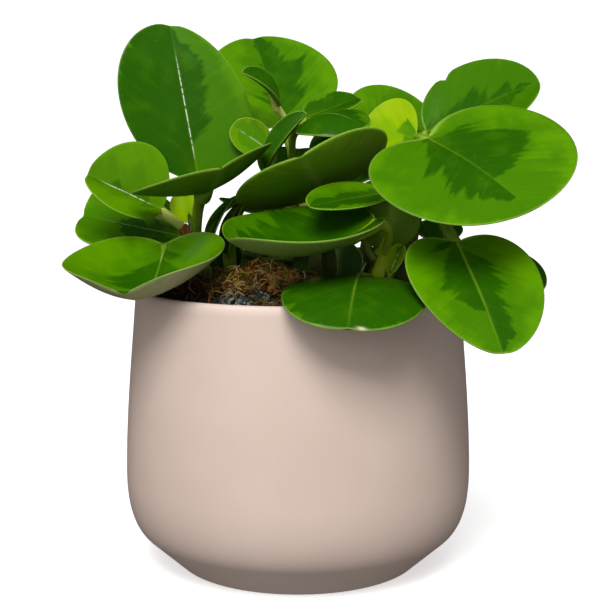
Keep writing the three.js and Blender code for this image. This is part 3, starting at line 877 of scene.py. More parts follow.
def blade_face(upper):
    """One face of the blade, with its marks stored before it is bent."""
    grid = blades.term("GeometryNodeMeshGrid", {}, {
        "Size X": 1.0, "Size Y": 1.0,
        "Vertices X": blade_rows + 1, "Vertices Y": blade_columns + 1})
    grid = blades.store(grid, "blade", blades.vector(along, across, margin))
    grid = blades.store(grid, "share", blades.vector(u, v, upper))
    level = rise + offset if upper else rise - offset - swell
    bent = blades.shift(grid, Position=blades.vector(forward, sideways, level))
    return bent if upper else blades.term("GeometryNodeFlipFaces", {}, {0: bent})


both = blades.node("GeometryNodeJoinGeometry", {}, {})
for face in (blade_face(0), blade_face(1)):
    blades.tree.links.new(face.socket, both.inputs[0])
inputs = {0: both.outputs[0], "Distance": weld_distance}
blades.end(blades.term("GeometryNodeMergeByDistance", {}, inputs))
print("blade tree:", len(blades.tree.nodes), "nodes")

# %% [markdown]
# ## The two greens of a leaf
# The leaves are variegated: a dark green middle reaches out in ragged fingers along the side
# veins into a lime margin, with a softer middle green between the two. The distance from the
# midrib is a share of the half width, so a finger is where that share is less than a reach that
# changes quickly from vein to vein. The middle green has a second, wider reach and a soft edge.

# %% Leaf pattern
def leaf_pattern(leaf, along, across, u, v, seed):
    """How dark green, how middle green and how streaked a point of the upper face is."""
    middle_left, middle_right, _ = leaf.attribute("middle_green")
    side = v.above(0)
    halves = zip(leaf.attribute("left_half"), leaf.attribute("right_half"))
    reach, first, last = (side * left + (1 - side) * right for left, right in halves)
    middle_reach = side * middle_left + (1 - side) * middle_right

    vein = along - across.size() * 0.75
    rough = leaf.noise(leaf.vector(along, across, seed * 11), 2.2, 3) - 0.5
    lobes = leaf.noise(leaf.vector(vein / 9, side * 7, seed * 9.7), 1, 1) - 0.5
    fingers = leaf.vector(vein / 2.4, side * 5 + across.size() / 45, seed * 5.3)
    fingers = leaf.noise(fingers, 1, 2) - 0.5
    soft = leaf.noise(leaf.vector(along, across, seed * 7), 11, 3)
    streaks = leaf.noise(leaf.vector(vein / 1.9, side * 3 + across.size() / 50, seed * 2.1), 1, 3)

    within = (u + lobes * 0.3 - first).step(-0.08, 0.1) * (last - u - lobes * 0.4).step(-0.1, 0.1)
    spread = reach + lobes * 1.0 + fingers * 0.4 + rough * 0.12
    deep = (spread * within - v.size() - 0.03).step(-0.04, 0.09)
    deep = deep * (soft.step(0.2, 0.55) * 0.45 + streaks * 0.36 + 0.4).least(1)
    wide = middle_reach + lobes * 0.7 + fingers * 0.5 + (soft - 0.5) * 0.9
    middle = (wide - v.size()).step(-0.22, 0.3) * (0.7 + streaks * 0.3).least(1)
    return deep, middle, streaks, soft, vein


print("pattern ready: a dark and a middle green, from the marks of each half")

# %% [markdown]
# Over the greens lie the midrib, faint side veins, the paler throat at the petiole, small
# blemishes and one corky scar. A strong light on a midrib's groove shows as a broken white line,
# so it is painted as one. The underside is matt, paler and mottled, with a painted reflection of
# the pale surroundings on some leaves, and both faces meet in a light rim that is partly a paler
# margin and partly a painted highlight.

# %% Leaf finish
def leaf_finish(name, dark, middle, light, under):
    leaf = Finish(name, 0.2)
    along, across, margin = leaf.attribute("blade")
    u, v, upper = leaf.attribute("share")
    seed, glint, shade = leaf.attribute("look")
    _, _, bloom = leaf.attribute("middle_green")
    scar_along, scar_across, scar = leaf.attribute("scar")
    deep, half_deep, streaks, soft, vein = leaf_pattern(leaf, along, across, u, v, seed)
    midrib = across.bell(0.5) * (1 - u * 0.9)
    comb = (vein + leaf.noise(leaf.vector(along, across, seed), 9) * 4) / 7.5
    side_vein = (comb.fraction() - 0.5).bell(0.05) * margin.step(1, 9)
    throat = (along / 9).bell(1) * (across / (1.4 + along * 0.3)).bell(1.6)
    shine = across.bell(0.2) * u.step(0.1, 0.25) * (1 - u.step(0.62, 0.85))
    broken = leaf.noise(leaf.vector(along / 2.4, 0, seed * 13), 1, 2).step(0.36, 0.52)
    blemish = leaf.noise(leaf.vector(along, across, seed * 17), 2.6, 2).step(0.72, 0.8)
    mottle = leaf.noise(leaf.vector(along, across, seed), 3.5, 4)
    near_black = tone(8, 24, 2)
    color = leaf.layered(
        light,
        (streaks.step(0.35, 0.75) * 0.13, middle),
        (soft.step(0.42, 0.7) * 0.38, middle),
        (half_deep * 0.9, middle),
        (deep, dark),
        # Above nought the shade mark darkens the whole leaf; on the leaves deep inside the plant
        # and at the back this is painted shade, nearly black above 1.
        (shade.most(0), dark),
        ((-shade).most(0), tone(112, 150, 0)),
        ((shade - 1).most(0), near_black),
        (side_vein * 0.07 * (1 - midrib), light),
        (midrib * (0.28 - glint).most(0.28), tone(118, 156, 34)),
        (throat * 0.1, tone(122, 162, 14)),
        (shine * broken * glint.most(0), tone(236, 242, 232)),
        (blemish * 0.3, tone(120, 112, 40)),
        (scar * (along - scar_along).bell(0.7) * (across - scar_across).bell(1.7),
         tone(214, 200, 168)),
    )
    back = leaf.layered(
        under,
        (mottle.step(0.35, 0.7) * 0.5, tone(112, 132, 40)),
        (streaks.step(0.4, 0.7) * 0.3, middle),
        # The same painted shade darkens the underside.
        (shade.most(0), dark),
        ((shade - 1).most(0), near_black),
        (across.bell(2.2) * (1 - u * 0.6) * 0.4, tone(150, 172, 80)),
        # Painted reflection: a pale grey sheen of the bright surroundings on the underside.
        (bloom * (0.4 + mottle * 0.6), tone(178, 168, 136)),
    )
    # The light rim is partly a paler margin and partly a painted highlight where the edge catches
    # light.
    rim = 1 - margin.step(0.08, 0.6)
    color = leaf.layered(back, (upper, color), (rim * 0.4, tone(150, 180, 76)))
    wax = leaf.noise(leaf.vector(along, across, seed * 2), 0.7, 2)
    pillow = leaf.noise(leaf.vector(along, across, seed * 4), 6, 1)
    roughness = 0.2 + soft * 0.08 + (1 - upper) * 0.26
    return leaf.finish(color, roughness, wax * 0.3 + pillow * 3.2 - side_vein * 0.3, 0.07)


mature = leaf_finish("mature leaf", tone(34, 80, 1), tone(54, 104, 0), tone(79, 129, 0),
                     tone(94, 138, 4))
fresh = leaf_finish("young leaf", tone(66, 118, 1), tone(104, 148, 0), tone(134, 164, 0),
                    tone(128, 152, 24))
print("leaf finish:", len(mature.node_tree.nodes), "nodes")

# %% [markdown]
# ## Stems
# The plant is several short shoots. Each is fleshy, pale green above and browner towards the
# soil, with a slight swelling at each joint where a leaf leaves it. The line of each shoot is the
# solid's, as a smooth curve through the same few points, and its row ends with its count of
# joints. The solids are named alike, with stem_ before the name.

# %% Stem lines
stem_radius, stem_root, stem_sides = 3.2, 14, 20
fine_steps = 60
stem_lines = {
    "left": ([(-36, -6, 114), (-39, -4, 124), (-43, -1, 136), (-45, -1, 146)], 3),
    "inner_left": ([(-27, 9, 114), (-30, 8, 130), (-28, 4, 148), (-22, 3, 162)], 3),
    "middle": ([(8, 14, 114), (7, 14, 140), (1, 10, 162), (-3, 8, 177)], 5),
    "right": ([(42, -10, 114), (47, -9, 135), (52, -6, 160), (54, -4, 178)], 5),
    "front": ([(30, -26, 114), (32, -29, 126), (37, -28, 140)], 2),
    "centre": ([(14, -8, 114), (14, -9, 128), (12, -8, 146)], 2),
    "back_left": ([(-16, 34, 114), (-18, 36, 126), (-20, 37, 144)], 3),
    "back_right": ([(28, 30, 114), (32, 33, 140), (36, 36, 170)], 4),
}


def smooth_line(knots, count):
    """Evenly spaced points on the smooth curve that passes through all the knots."""
    knots = [np.array(knot, float) for knot in knots]
    knots = [2 * knots[0] - knots[1], *knots, 2 * knots[-1] - knots[-2]]
    fine = []
    for before, here, there, after in zip(knots, knots[1:], knots[2:], knots[3:]):
        gaps = [math.dist(a, b) ** 0.5 for a, b in ((before, here), (here, there), (there, after))]
        leave = (here - before) / gaps[0] - (there - before) / (gaps[0] + gaps[1])
        leave = (leave + (there - here) / gaps[1]) * gaps[1]
        arrive = (there - here) / gaps[1] - (after - here) / (gaps[1] + gaps[2])
        arrive = (arrive + (after - there) / gaps[2]) * gaps[1]
        for share in np.arange(fine_steps) / fine_steps:
            square, cube = share**2, share**3
            fine.append((2 * cube - 3 * square + 1) * here + (cube - 2 * square + share) * leave
                        + (3 * square - 2 * cube) * there + (cube - square) * arrive)
    fine = np.array([*fine, knots[-2]])
    steps = np.linalg.norm(np.diff(fine, axis=0), axis=1)
    travelled = np.concatenate([[0], np.cumsum(steps)])
    wanted = np.linspace(0, travelled[-1], count)
    return np.stack([np.interp(wanted, travelled, fine[:, axis]) for axis in range(3)], axis=1)


def stem_curve(name, count=201):
    """Points along a stem, from its root in the soil to its tip."""
    knots, _ = stem_lines[name]
    root = (knots[0][0], knots[0][1], knots[0][2] - stem_root)
    return smooth_line([root, *knots], count)


print("highest stem ends at", round(max(stem_curve(name)[-1][2] for name in stem_lines)), "mm")

# %% [markdown]
# Stems and petioles share one finish. It has long streaks, browner old parts near the soil, and
# a painted shade of dark green where the inner shoots stand deep in the plant. One mark on the
# mesh makes a stalk paler, or yellower where it is below nought: partly the stalk's own colour
# and partly painted light on stalks that stand in shade.

# %% Stalk finish
stalk = Finish("fleshy stalk", 0.35)
along, around, _ = stalk.attribute("blade")
x, y, height = stalk.split(stalk.place())
streak = stalk.noise(stalk.vector(along / 14, around / 0.9, 0), 1, 2)
blotch = stalk.noise(stalk.place(), 5, 3)
# Painted shade: the inner shoots deep in the plant are darkened to dark green.
hidden = y.step(-26, -8) * x.step(-34, -24) * (1 - height.step(140, 170))
old = (1 - height.step(116, 132)) * (0.5 + blotch * 0.4)
_, pale, _ = stalk.attribute("look")
color = stalk.layered(
    tone(94, 132, 10),
    (blotch.step(0.35, 0.65), tone(122, 154, 26)),
    (streak.step(0.45, 0.75) * 0.5, tone(150, 176, 66)),
    (hidden * 0.8, tone(34, 46, 12)),
    (old, tone(70, 50, 26)),
    (streak.step(0.62, 0.8) * 0.3, tone(112, 80, 44)),
    # Partly painted light: the pale mark lightens stalks that stand in shade, and below nought
    # paints them bright yellow green.
    (pale.most(0) * height.step(120, 152), tone(178, 190, 92)),
    ((-pale).most(0), tone(170, 200, 8)),
)
stalk_finish = stalk.finish(color, 0.38 + blotch * 0.12, streak + blotch * 0.5, 0.12)
print("stalk finish:", len(stalk.tree.nodes), "nodes")

# %% Grow the stems
stem_steps = 60
# Painted light: the front stem and the top of the middle stem stand in shade and are painted
# lighter.
stem_pale = {"front": -0.8, "middle": 0.5}


def stem_part(name):
    """A stem that thins towards its tip and swells at its joints."""
    share = np.linspace(0, 1, stem_steps)
    joints = share * (3 * stem_lines[name][1] + 1)
    swelling = 1 + 0.12 * np.exp(-(((joints % 3) - 2) / 0.45) ** 2)
    tip = np.clip((1 - share) * 14, 0, 1) ** 0.5 * 0.92 + 0.08
    radii = stem_radius * (1 - 0.28 * share) * swelling * tip
    spots, faces, marks = tube(stem_curve(name, stem_steps), radii, stem_sides)
    return spots, faces, 0, {"blade": marks, "look": (0, stem_pale.get(name, 0), 0)}


for name in stem_lines:
    solid = "stem_" + name
    make_piece(solid + "_grown", [stem_part(name)], [stalk_finish], "stem", [solid])
print("stems:", len(stem_lines))

# %% [markdown]
# ## The leaves
# Each leaf is one row of sizes, the same as the solid's: the stem and how far up it, where the
# blade starts and ends, the way its upper face looks, its width, and how the left and the right
# half are cupped, as seen from the petiole with the face up. The solids are named alike, with
# leaf_ before the name. The leaves at the back stand in tiers, as in the solids.

# %% Leaf sizes
def row(name, stem, at, base, tip, face, width, cup, full=0.5, lobe=(0, 0), sweep=0, arch=0,
        lift=0, bowl=1.7, stout=1, young=False):
    """A leaf's sizes, each by its name."""
    return SimpleNamespace(**locals())


leaves = [
    row("tall_left", "left", 0.98, (-43, 3, 166), (-56, 16, 234), (0.1, -1, 0.1), 54,
        (0.12, 0.16), full=0.47, lobe=(0.08, 0.08), sweep=0.3, arch=0.03),
    row("left_small", "left", 0.86, (-58, -6, 154), (-90, -10, 169), (0.1, -0.75, 0.7), 40,
        (0.6, 0.6), full=0.45, bowl=1.1, stout=1.2),
    row("left_behind", "left", 0.7, (-50, 12, 141), (-97, 20, 150), (0.1, -0.5, 0.85), 54,
        (0.2, 0.2), full=0.68, lobe=(0.2, 0.2), sweep=-0.12),
    row("front_left_bowl", "left", 0.6, (-56, -18, 140), (-66, -70, 123), (-0.1, -0.25, 1), 62,
        (0.5, 0.5), full=0.56, lobe=(0.5, 0.3), arch=-0.16, lift=0.04),
    row("left_raised", "left", 0.93, (-41.5, -11, 163), (-30, -53, 172.5), (-0.4, 0.3, 0.9), 62,
        (0.33, 0.28), full=0.35, lobe=(0.2, 0), arch=-0.08, stout=1.4),
    row("back_tall", "middle", 0.97, (-6, 20, 190), (-21, 50, 231), (0.2, -0.8, 0.6), 62,
        (0.2, 0.15), full=0.42, lobe=(0.25, 0), sweep=-0.05),
    row("young_edge", "middle", 0.99, (-8, 1, 198), (-24, -8, 212), (0.5, -0.4, 0.75), 15,
        (0.4, 0.4), arch=0.1),
    row("young_lime", "inner_left", 0.97, (-12, 1, 179), (-28.5, 1, 190), (0.2, -1, 0.2), 16,
        (0.2, 0.2), young=True),
    row("folded_dark", "inner_left", 0.92, (-14, -5, 171), (4, -8, 195), (-0.7, -0.5, 0.4), 13,
        (0.6, 0.6), arch=0.05),
    row("inner_drooping", "inner_left", 0.8, (-26, 0, 160), (-38, -8, 138), (-0.8, -0.2, 0.5), 22,
        (0.1, 0.1), arch=0.1),
    row("inner_edge", "inner_left", 0.68, (-24, 5, 157), (-31, 0, 134), (-0.8, -0.3, 0.5), 18,
        (0.1, 0.1), arch=0.1),
    row("axil", "left", 0.8, (-46, 7, 148), (-51, 9, 162), (-0.1, -1, 0.3), 15, (0.2, 0.2),
        arch=0.05, young=True),
    row("inner_back", "middle", 0.3, (15, 20, 118), (18, 30, 139), (0.3, 0.9, 0.4), 26,
        (0.1, 0.1), arch=0.05),
    row("inner_low", "inner_left", 0.4, (-36, 22, 122), (-39, 20, 140), (0.1, -0.9, 0.2), 25,
        (0.1, 0.1), arch=0.05),
    row("right_flat", "middle", 0.95, (3, 6, 193), (27, 15, 202), (0, -0.35, 0.9), 24, (0.2, 0.2)),
    row("arching", "middle", 0.9, (2, -4, 190), (27, -28, 188), (0.2, -0.5, 0.85), 28,
        (-0.1, -0.4), arch=0.15),
    row("middle_low", "middle", 0.8, (5, 0, 178), (20, -4, 186), (0, -0.7, 0.7), 15, (0.1, 0.1),
        arch=0.05),
    row("back_right", "back_right", 0.97, (32, 34, 182), (62, 60, 199), (0.1, -0.7, 0.7), 50,
        (0.2, 0.2), lobe=(0.2, 0.2)),
    row("lime_right", "right", 0.96, (51, 6, 184), (28, 8, 189), (-0.1, -0.7, 0.7), 34,
        (0.25, 0.25), full=0.4, arch=0.05, young=True),
    row("upper_right", "right", 0.98, (56, 12, 187), (106, 17, 211), (-0.15, -0.75, 0.65), 46,
        (0.12, 0.4), full=0.45, lobe=(0.15, 0.15), sweep=0.22, lift=-0.05),
    row("large_right", "right", 0.99, (52, -36, 184), (86, -82, 157), (-0.05, -0.6, 0.8), 78,
        (0.05, 0.05), full=0.55, lobe=(0.75, 0.55), arch=0.04),
    row("hanging_right", "right", 0.8, (61.5, -57, 144), (75, -92, 105), (0.15, -0.8, 0.5), 47,
        (0.1, 0.05), full=0.42, lobe=(0.4, 0.4), sweep=0.12, arch=0.03, stout=1.25),
    row("hanging_behind", "right", 0.5, (72, -14, 135), (99, -34, 121), (0.2, -0.5, 0.8), 34,
        (0.1, 0.1), arch=0.03),
    row("right_inner", "right", 0.68, (59, -12, 150), (58, -32, 142), (0, -0.3, 1), 20, (0, 0),
        arch=0.05),
    row("front_hanging", "front", 0.62, (24, -50, 130), (18, -95, 115), (0, -0.3, 1), 54,
        (-0.12, -0.12), lobe=(0.24, 0.24), arch=0.08),
    row("centre_bowl", "front", 0.9, (31, -43, 152), (-28, -62, 145), (0, -0.15, 1), 60,
        (0.38, 0.38), lobe=(0.2, 0.2), arch=-0.15),
    row("underside", "front", 0.97, (34, -24, 138), (40, -32, 158), (0, 0.9, 0.4), 25, (0.2, 0.2),
        full=0.6, arch=-0.1, stout=1.3),
    row("centre_raised", "centre", 0.97, (12, -4, 160), (1, -47, 177), (-0.37, 0.4, 0.85), 66,
        (0.2, 0.2), lobe=(0.4, 0.2), arch=-0.04),
    row("centre_small", "centre", 0.9, (36, -26, 162), (4, -48, 157), (0, -0.5, 0.9), 22,
        (0.2, 0.2)),
]
print("leaves seen from the front:", len(leaves))

# %% Leaves at the back
back_tiers = [
    dict(azimuths=(24, 60, 96, 134), base=(42, 130), tip=(94, 104), width=52, arch=0.16, at=0.55),
    dict(azimuths=(76, 108), base=(46, 146), tip=(82, 150), width=40, arch=0.08, at=0.74),
    dict(azimuths=(28, 60, 90), base=(46, 160), tip=(86, 180), width=44, arch=0.08, at=0.88),
]
for level, tier in enumerate(back_tiers, 1):
    for i, azimuth in enumerate(tier["azimuths"]):
        x, y = math.cos(math.radians(azimuth)), math.sin(math.radians(azimuth))
        (base_away, base_height), (tip_away, tip_height) = tier["base"], tier["tip"]
        leaves.append(row(
            f"back_{level}_{i + 1}", "back_right" if azimuth < 90 else "back_left",
            tier["at"] + 0.04 * i, (base_away * x, base_away * y, base_height + 3 * (i % 2)),
            (tip_away * x, tip_away * y, tip_height + 4 * (i % 2)), (0.5 * x, 0.5 * y, 1),
            tier["width"] - 3 * (i % 3), (0.1, 0.1), lobe=(0.2, 0.2), sweep=0.1 - 0.2 * (i % 2),
            arch=tier["arch"]))
print("leaves in all:", len(leaves))

# %% [markdown]
# No two leaves are marked alike. For each half of a leaf, the look says how far the dark middle
# reaches towards the margin and between which shares of the length. It also says how far the
# middle green reaches in each half, how dark (above 0) or how yellow (below 0) the leaf is as a
# whole, and how strongly its midrib glints (above 0) or stands out in light green (below 0). On
# the leaves deep inside the plant and at the back the darkness is painted shade, nearly black
# above 1. The rest is a painted reflection of the pale surroundings on its underside, how pale or
# yellow its petiole is (partly its own colour and partly painted light), how deep its tip is
# dented, a notch in its margin, and where a scar lies.

# %% Leaf looks
def look(left, right, middle=(0.7, 0.7), shade=0.0, glint=0.0, bloom=0.0, pale_stalk=0, dent=0.8,
         notch_at=0.5, notch_side=0, scar=(0, 0, 0)):
    """How a leaf is marked, each mark by its name."""
    return SimpleNamespace(**locals())


dark_half = (1.3, -1, 2)
leaf_looks = {
    # tall_left's left half is painted dark all over: partly its dark green and partly painted
    # shade.
    "tall_left": look((1.15, -1, 2), (0.36, 0.25, 0.95), (1.8, 0.85), shade=0.1, glint=0.7),
    "left_small": look((0.1, 0.05, 1.2), (0.2, 0, 0.7), (0.4, 0.5), shade=-0.12, glint=0.6,
                       pale_stalk=0.8),
    "left_behind": look((0.5, 0, 0.6), (0.3, 0.1, 0.6), (0.8, 0.6), glint=0.15),
    "front_left_bowl": look((0.35, 0.1, 0.8), (0.4, 0.1, 0.9), (0.7, 0.6), bloom=0.8),
    "left_raised": look((0.5, 0, 1), (0.5, 0, 1), (0.9, 0.9), shade=0.35, dent=0),
    "back_tall": look((0.04, 0, 1), (0.5, 0.1, 1.2), (0.3, 0.8)),
    "young_edge": look(dark_half, dark_half, shade=0.4, pale_stalk=0.9),
    "young_lime": look((0.6, 0, 0.8), (0.8, 0, 0.9), (0.9, 0.9), shade=0.7, glint=0.3),
    "folded_dark": look(dark_half, dark_half, shade=0.3, pale_stalk=0.5),
    # Painted shade: inner_drooping, inner_edge, inner_back, inner_low, hanging_behind and
    # right_inner sit deep in the plant and are darkened.
    "inner_drooping": look(dark_half, dark_half, shade=0.5),
    "inner_edge": look(dark_half, dark_half, shade=0.5),
    "axil": look((0.1, 0, 0.4), (0.1, 0, 0.4), (0.2, 0.2)),
    "inner_back": look(dark_half, dark_half, shade=1.6),
    "inner_low": look(dark_half, dark_half, shade=1.6),
    "right_flat": look((0.9, 0, 1), (0.9, 0, 1), shade=0.3),
    "middle_low": look((0.5, 0, 1), (0.5, 0, 1), shade=0.3),
    "arching": look((0.6, 0, 1), dark_half, shade=0.35, glint=0.2),
    "back_right": look((0.4, 0, 0.7), (0.4, 0, 0.7), (0.8, 0.8)),
    "lime_right": look((0.5, -1, 0.25), (0.6, -1, 0.3), (0.5, 0.5)),
    "upper_right": look((0.3, 0, 0.9), (0.4, 0, 0.8), (1.1, 1.1), shade=0.3, dent=0, notch_at=0.3,
                        notch_side=1),
    "large_right": look((0.72, 0, 0.58), (0.4, -0.3, 0.85), (0.85, 1), dent=0.2),
    "bud_left": look((0.2, 0, 1), (0.2, 0, 1), shade=-0.3, glint=0.8, pale_stalk=0.8),
    "bud_right": look((0.3, 0, 1), (0.3, 0, 1), glint=0.6, pale_stalk=0.5),
    "hanging_right": look((0.42, 0.1, 1), (0.5, 0, 0.62), (0.75, 0.75), glint=-0.5),
    "hanging_behind": look(dark_half, dark_half, shade=0.5),
    "right_inner": look(dark_half, dark_half, shade=0.5),
    "front_hanging": look((1.1, -1, 2), (1.1, -1, 2), (1.3, 1.3), shade=0.2, glint=-0.5, dent=0.3,
                          scar=(47, 5, 0.8)),
    "centre_bowl": look((0.85, -1, 0.9), (0.85, -1, 0.9), (1.2, 1.2), shade=0.1, bloom=0.2,
                        pale_stalk=-0.4),
    "underside": look((0.6, 0, 1), (0.6, 0, 1), (0.9, 0.9), pale_stalk=-0.5),
    "centre_raised": look((0.6, 0, 1), (0.6, 0, 1), (0.9, 0.9), dent=0),
    "centre_small": look((0.7, 0, 1), (0.4, 0, 1), (0.8, 0.7)),
}
# Painted shade: the leaves at the back are darkened, as they stand in the plant's shade.
back_look = look((0.9, -1, 2), (0.7, -1, 2), (1.1, 1), shade=0.8)
print("looks:", len(leaf_looks), "and one for the leaves at the back")

# %% [markdown]
# A leaf's blade and its petiole are one piece. The petiole leaves the stem, bends into line with
# the blade and runs on under it as the thick start of the midrib, where it thins out to nothing.

# %% Blade part
blade_thickness, full_size_width, seed_step = 1.3, 40, 0.37


def leaf_place(leaf):
    """The matrix from the blade's own frame to the plant, both in millimetres."""
    base, tip = Vector(leaf.base), Vector(leaf.tip)
    along = (tip - base).normalized()
    up = Vector(leaf.face)
    up = (up - along * up.dot(along)).normalized()
    across = up.cross(along)
    return Matrix.Translation(base) @ Matrix((along, across, up)).transposed().to_4x4()


def blade_part(leaf, number, finish):
    """A leaf's blade, put in its place, with what its finish reads."""
    small = min(1.0, leaf.width / full_size_width)
    own = leaf_looks.get(leaf.name, back_look)
    mesh = blades.make(bare, finish, length=math.dist(leaf.base, leaf.tip), width=leaf.width,
                       full=leaf.full, lobe_left=leaf.lobe[0], lobe_right=leaf.lobe[1],
                       sweep=leaf.sweep, cup_left=leaf.cup[0], cup_right=leaf.cup[1],
                       bowl=leaf.bowl, arch=leaf.arch, lift=leaf.lift,
                       thickness=blade_thickness * (0.6 + 0.4 * small), groove=0.55 * small,
                       collar=1.3 * small, dent=own.dent * small, notch_at=own.notch_at,
                       notch_side=own.notch_side, wave=0.5 * small, seed=number)
    place = np.array(leaf_place(leaf))
    spots = np.zeros(len(mesh.vertices) * 3)
    mesh.vertices.foreach_get("co", spots)
    spots = spots.reshape(-1, 3) @ place[:3, :3].T + place[:3, 3]
    marks = {"left_half": own.left, "right_half": own.right, "scar": own.scar,
             "middle_green": (*own.middle, own.bloom),
             "look": (number * seed_step, own.glint, own.shade)}
    for label in ("blade", "share"):
        values = np.zeros(len(spots) * 3, np.float32)
        mesh.attributes[label].data.foreach_get("vector", values)
        marks[label] = values.reshape(-1, 3)
    faces = [tuple(face.vertices) for face in mesh.polygons]
    bpy.data.meshes.remove(mesh)
    return spots, faces, 0, marks


print("blades are", blade_thickness, "mm thick")

# %% Petiole part
petiole_radius, petiole_flare, petiole_sides = 1.8, 0.35, 14
petiole_steps, rib_steps = 22, 12
rib_start, rib_end = 0.03, 0.55


def petiole_part(leaf):
    """A leaf's petiole, and its run under the blade as the start of the midrib."""
    curve = stem_curve(leaf.stem)
    start = curve[round(leaf.at * (len(curve) - 1))]
    place = leaf_place(leaf)
    length = math.dist(leaf.base, leaf.tip)
    size = petiole_radius * leaf.stout * (0.7 if leaf.young else 1)
    size = size * min(1.0, 0.55 + leaf.width / 80)

    def under_blade(u, radius):
        """The middle of the midrib at a share of the length, clear of the upper face."""
        rise = leaf.arch * length * 4 * u * (1 - u) + leaf.lift * length * u**3
        drop = max(0.45 * blade_thickness, radius)
        return np.array(place @ Vector((u * length, 0, rise - drop)))

    end = under_blade(0, size * (1 + petiole_flare) * 0.9)
    bend = end - np.array(place.to_3x3().col[0]) * 0.45 * math.dist(start, end)
    steps = np.linspace(0, 1, petiole_steps)
    share = steps[:, None]
    line = (1 - share) ** 2 * start + 2 * share * (1 - share) * bend + share**2 * end
    stalk_radii = size * (1.12 - 0.22 * np.sin(steps * math.pi) ** 0.5)
    stalk_radii *= 1 + petiole_flare * steps**3
    rib_radii = np.linspace(1.0, 0.12, rib_steps) ** 1.2
    rib_radii = size * (rib_radii + petiole_flare * np.linspace(1, 0, rib_steps) ** 2)
    rib_shares = np.linspace(rib_start, rib_end, rib_steps)
    under = [under_blade(u, radius) for u, radius in zip(rib_shares, rib_radii)]
    spots, faces, marks = tube([*line, *under], [*stalk_radii, *rib_radii], petiole_sides)
    # The petiole's pale mark is partly its own paler colour and partly painted light.
    pale = leaf_looks.get(leaf.name, back_look).pale_stalk
    return spots, faces, 1, {"blade": marks, "look": (0, pale, 0)}


print("a leaf's petiole has", len(petiole_part(leaves[0])[1]), "faces")

# %% Grow the leaves
bare = bpy.data.meshes.new("bare")
for number, leaf in enumerate(leaves, 1):
    finish, slot = (fresh, "young_leaf") if leaf.young else (mature, "leaf")
    parts = [blade_part(leaf, number, finish), petiole_part(leaf)]
    solid = "leaf_" + leaf.name
    make_piece(solid + "_grown", parts, [finish, stalk_finish], slot, [solid])
print("leaf faces:", sum(len(o.data.polygons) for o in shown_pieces() if "leaf" in o.name))

# %% [markdown]
# ## Buds and dry scales
# Where a petiole meets its stem there are smaller things: young leaves still unfolding, and the
# brown papery scales that once wrapped them. They are grown in the same way as the leaves.

# %% Buds and scales
buds = [
    row("bud_left", "left", 0.7, (-45.1, -14, 144), (-46, -16, 153), (0.6, -1, 0.2), 3,
        (0.9, 0.9), bowl=1.1, young=True),
    row("bud_right", "front", 0.35, (37, -37, 129), (42.5, -37, 141.5), (-0.3, -1, 0.3), 7,
        (0.8, 0.8), full=0.6, bowl=1.1, young=True),
]
scales = [
    row("scale_left", "left", 0.62, (-45.5, -15, 141.5), (-47, -18, 149), (-0.3, -1, 0.1), 4,
        (0.8, 0.8)),
    row("scale_left_low", "left", 0.55, (-47.5, -15, 141.5), (-49.5, -18, 147), (0.3, -1, 0.2), 3,
        (0.8, 0.8)),
    row("scale_right", "right", 0.55, (47, -22, 143), (46, -30, 152), (0.2, -1, 0), 4, (0.8, 0.8)),
]
papery = Finish("papery scale", 0.2)
along, across, _ = papery.attribute("blade")
worn = papery.noise(papery.vector(along / 6, across, 0), 0.6, 3)
color = papery.layered(tone(96, 46, 22), (worn.step(0.3, 0.7), tone(158, 104, 56)))
papery_finish = papery.finish(color, worn * 0.2 + 0.6, worn, 0.15)
first_small_number = 60
for number, leaf in enumerate(buds + scales, first_small_number):
    finish, slot = (fresh, "young_leaf") if leaf.young else (papery_finish, "stem")
    parts = [blade_part(leaf, number, finish), petiole_part(leaf)]
    make_piece(leaf.name, parts, [finish, stalk_finish], slot)
print("buds:", len(buds), "scales:", len(scales))

# %% [markdown]
# ## Stage and light
# The photo has an even white ground, and one broad soft light from the upper front, a little to
# the left: the pot is evenly bright there and darker at both sides and below. The ground is a
# wide disc that rises to a wall all round, so that it is pale from every side. It glows a little
# by itself, as a light table does, and lends the object no light, so that the shading stays clear.

# %% Ground
ground_radius, ground_wall, ground_bend = 1900, 1500, 500
ground_glow, ground_sides = 0.5, 64
corner = bezier((ground_radius - ground_bend, 0), (ground_radius, 0), (ground_radius, 0),
                (ground_radius, ground_bend), 12)
ground_line = joined([(0, 0)], corner, [(ground_radius, ground_wall)])
ground_points, ground_faces = turned(ground_line, ground_sides)
paper = Finish("pale ground", 0.0)
fleck = paper.noise(paper.place(), 300, 2)
color = paper.layered(tone(244, 244, 244), (fleck, tone(250, 250, 250)))
ground_finish = paper.finish(color, fleck * 0.05 + 0.9)
paper.shader.inputs["Emission Color"].default_value = (1, 1, 1, 1)
paper.shader.inputs["Emission Strength"].default_value = ground_glow
inward_faces = [face[::-1] for face in ground_faces]
ground_mesh = smooth_mesh("ground", ground_points, inward_faces, [ground_finish])
ground = bpy.data.objects.new("ground", ground_mesh)
ground.visible_diffuse = False
ground.visible_glossy = False
bpy.context.scene.collection.objects.link(ground)
ground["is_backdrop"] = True
print("ground:", 2 * ground_radius, "mm wide")

# %% [markdown]
# A wide square key lamp and a lower, weaker one from the front light the matt surfaces. A third
# lamp is only mirrored in the glossy ones, so that the sheen can be set without changing the
# shading.

# %% Lamps
plant_middle = (0, 0, 130)


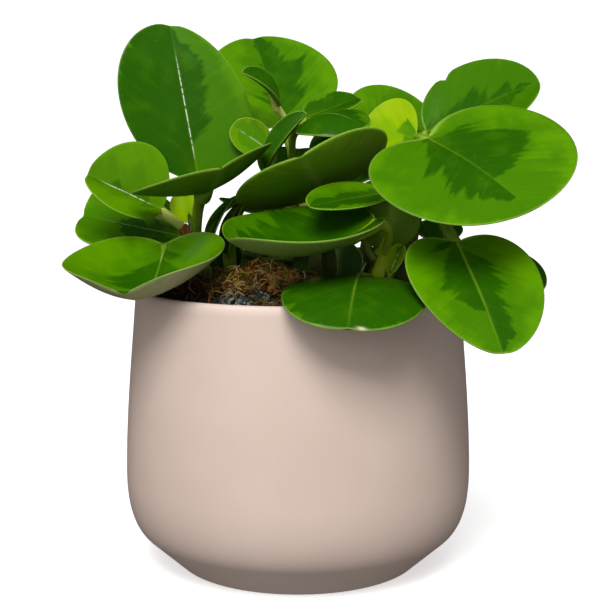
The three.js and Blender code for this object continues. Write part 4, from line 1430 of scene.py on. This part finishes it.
def lamp(name, turn, rise, distance, size, power, mirrored=False):
    """A square soft lamp round the plant: `turn` degrees to the right, `rise` degrees up."""
    data = bpy.data.lights.new(name, "AREA")
    data.shape = "SQUARE"
    data.size = size * millimetre
    data.energy = power
    made = bpy.data.objects.new(name, data)
    turn, rise = math.radians(turn), math.radians(rise)
    level = math.cos(rise)
    away = Vector((math.sin(turn) * level, -math.cos(turn) * level, math.sin(rise)))
    place = (Vector(plant_middle) + away * distance) * millimetre
    facing = away.to_track_quat("Z", "Y").to_matrix().to_4x4()
    made.matrix_world = Matrix.Translation(place) @ facing
    made.visible_glossy, made.visible_diffuse = mirrored, not mirrored
    bpy.context.scene.collection.objects.link(made)


lamp("key lamp", turn=-7, rise=46, distance=1300, size=600, power=17)
lamp("front lamp", turn=-12, rise=24, distance=1500, size=900, power=3)
lamp("sheen lamp", turn=-50, rise=54, distance=1200, size=400, power=5, mirrored=True)

# %% [markdown]
# The room's own light comes from the same side as the key, and fades to dim behind and below, so
# that the leaves keep their deep colour and don't mirror a bright room.

# %% Room light
room_dim, room_bright, table_glow = 0.24, 0.66, 0.03
room_side, table_side = Vector((-0.15, -0.5, 0.85)).normalized(), (0.0, -0.3, -0.95)

world = bpy.data.worlds.new("soft room")
world.use_nodes = True
room = Graph(world.node_tree)
toward = room.node("ShaderNodeTexCoord", {}, {}).outputs["Generated"]
facing, below = (
    room.term("ShaderNodeVectorMath", {"operation": "DOT_PRODUCT"}, {0: toward, 1: tuple(way)}, 1)
    for way in (room_side, table_side))
strength = facing.step(-0.5, 1.0) * (room_bright - room_dim) + room_dim
strength = strength + below.step(0.0, 0.9) * table_glow
light = room.node("ShaderNodeBackground", {}, {"Color": (1, 1, 1, 1), "Strength": strength})
room.node("ShaderNodeOutputWorld", {}, {0: light.outputs[0]})
bpy.context.scene.world = world
world.cycles_visibility.glossy = False
bpy.context.scene.view_settings.view_transform = "Standard"
print("room light:", room_dim, "to", room_bright)

# %% [markdown]
# ## Sizes and the end
# The last cell gathers the box of the solids and the box of what is shown, so that the two can
# be compared, and prints the shown box.

# %% Finish
shown_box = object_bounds()
boxes = {"solids": solid_box, "shown": shown_box}
print("shown box:", [tuple(round(c, 3) for c in p) for p in shown_box])
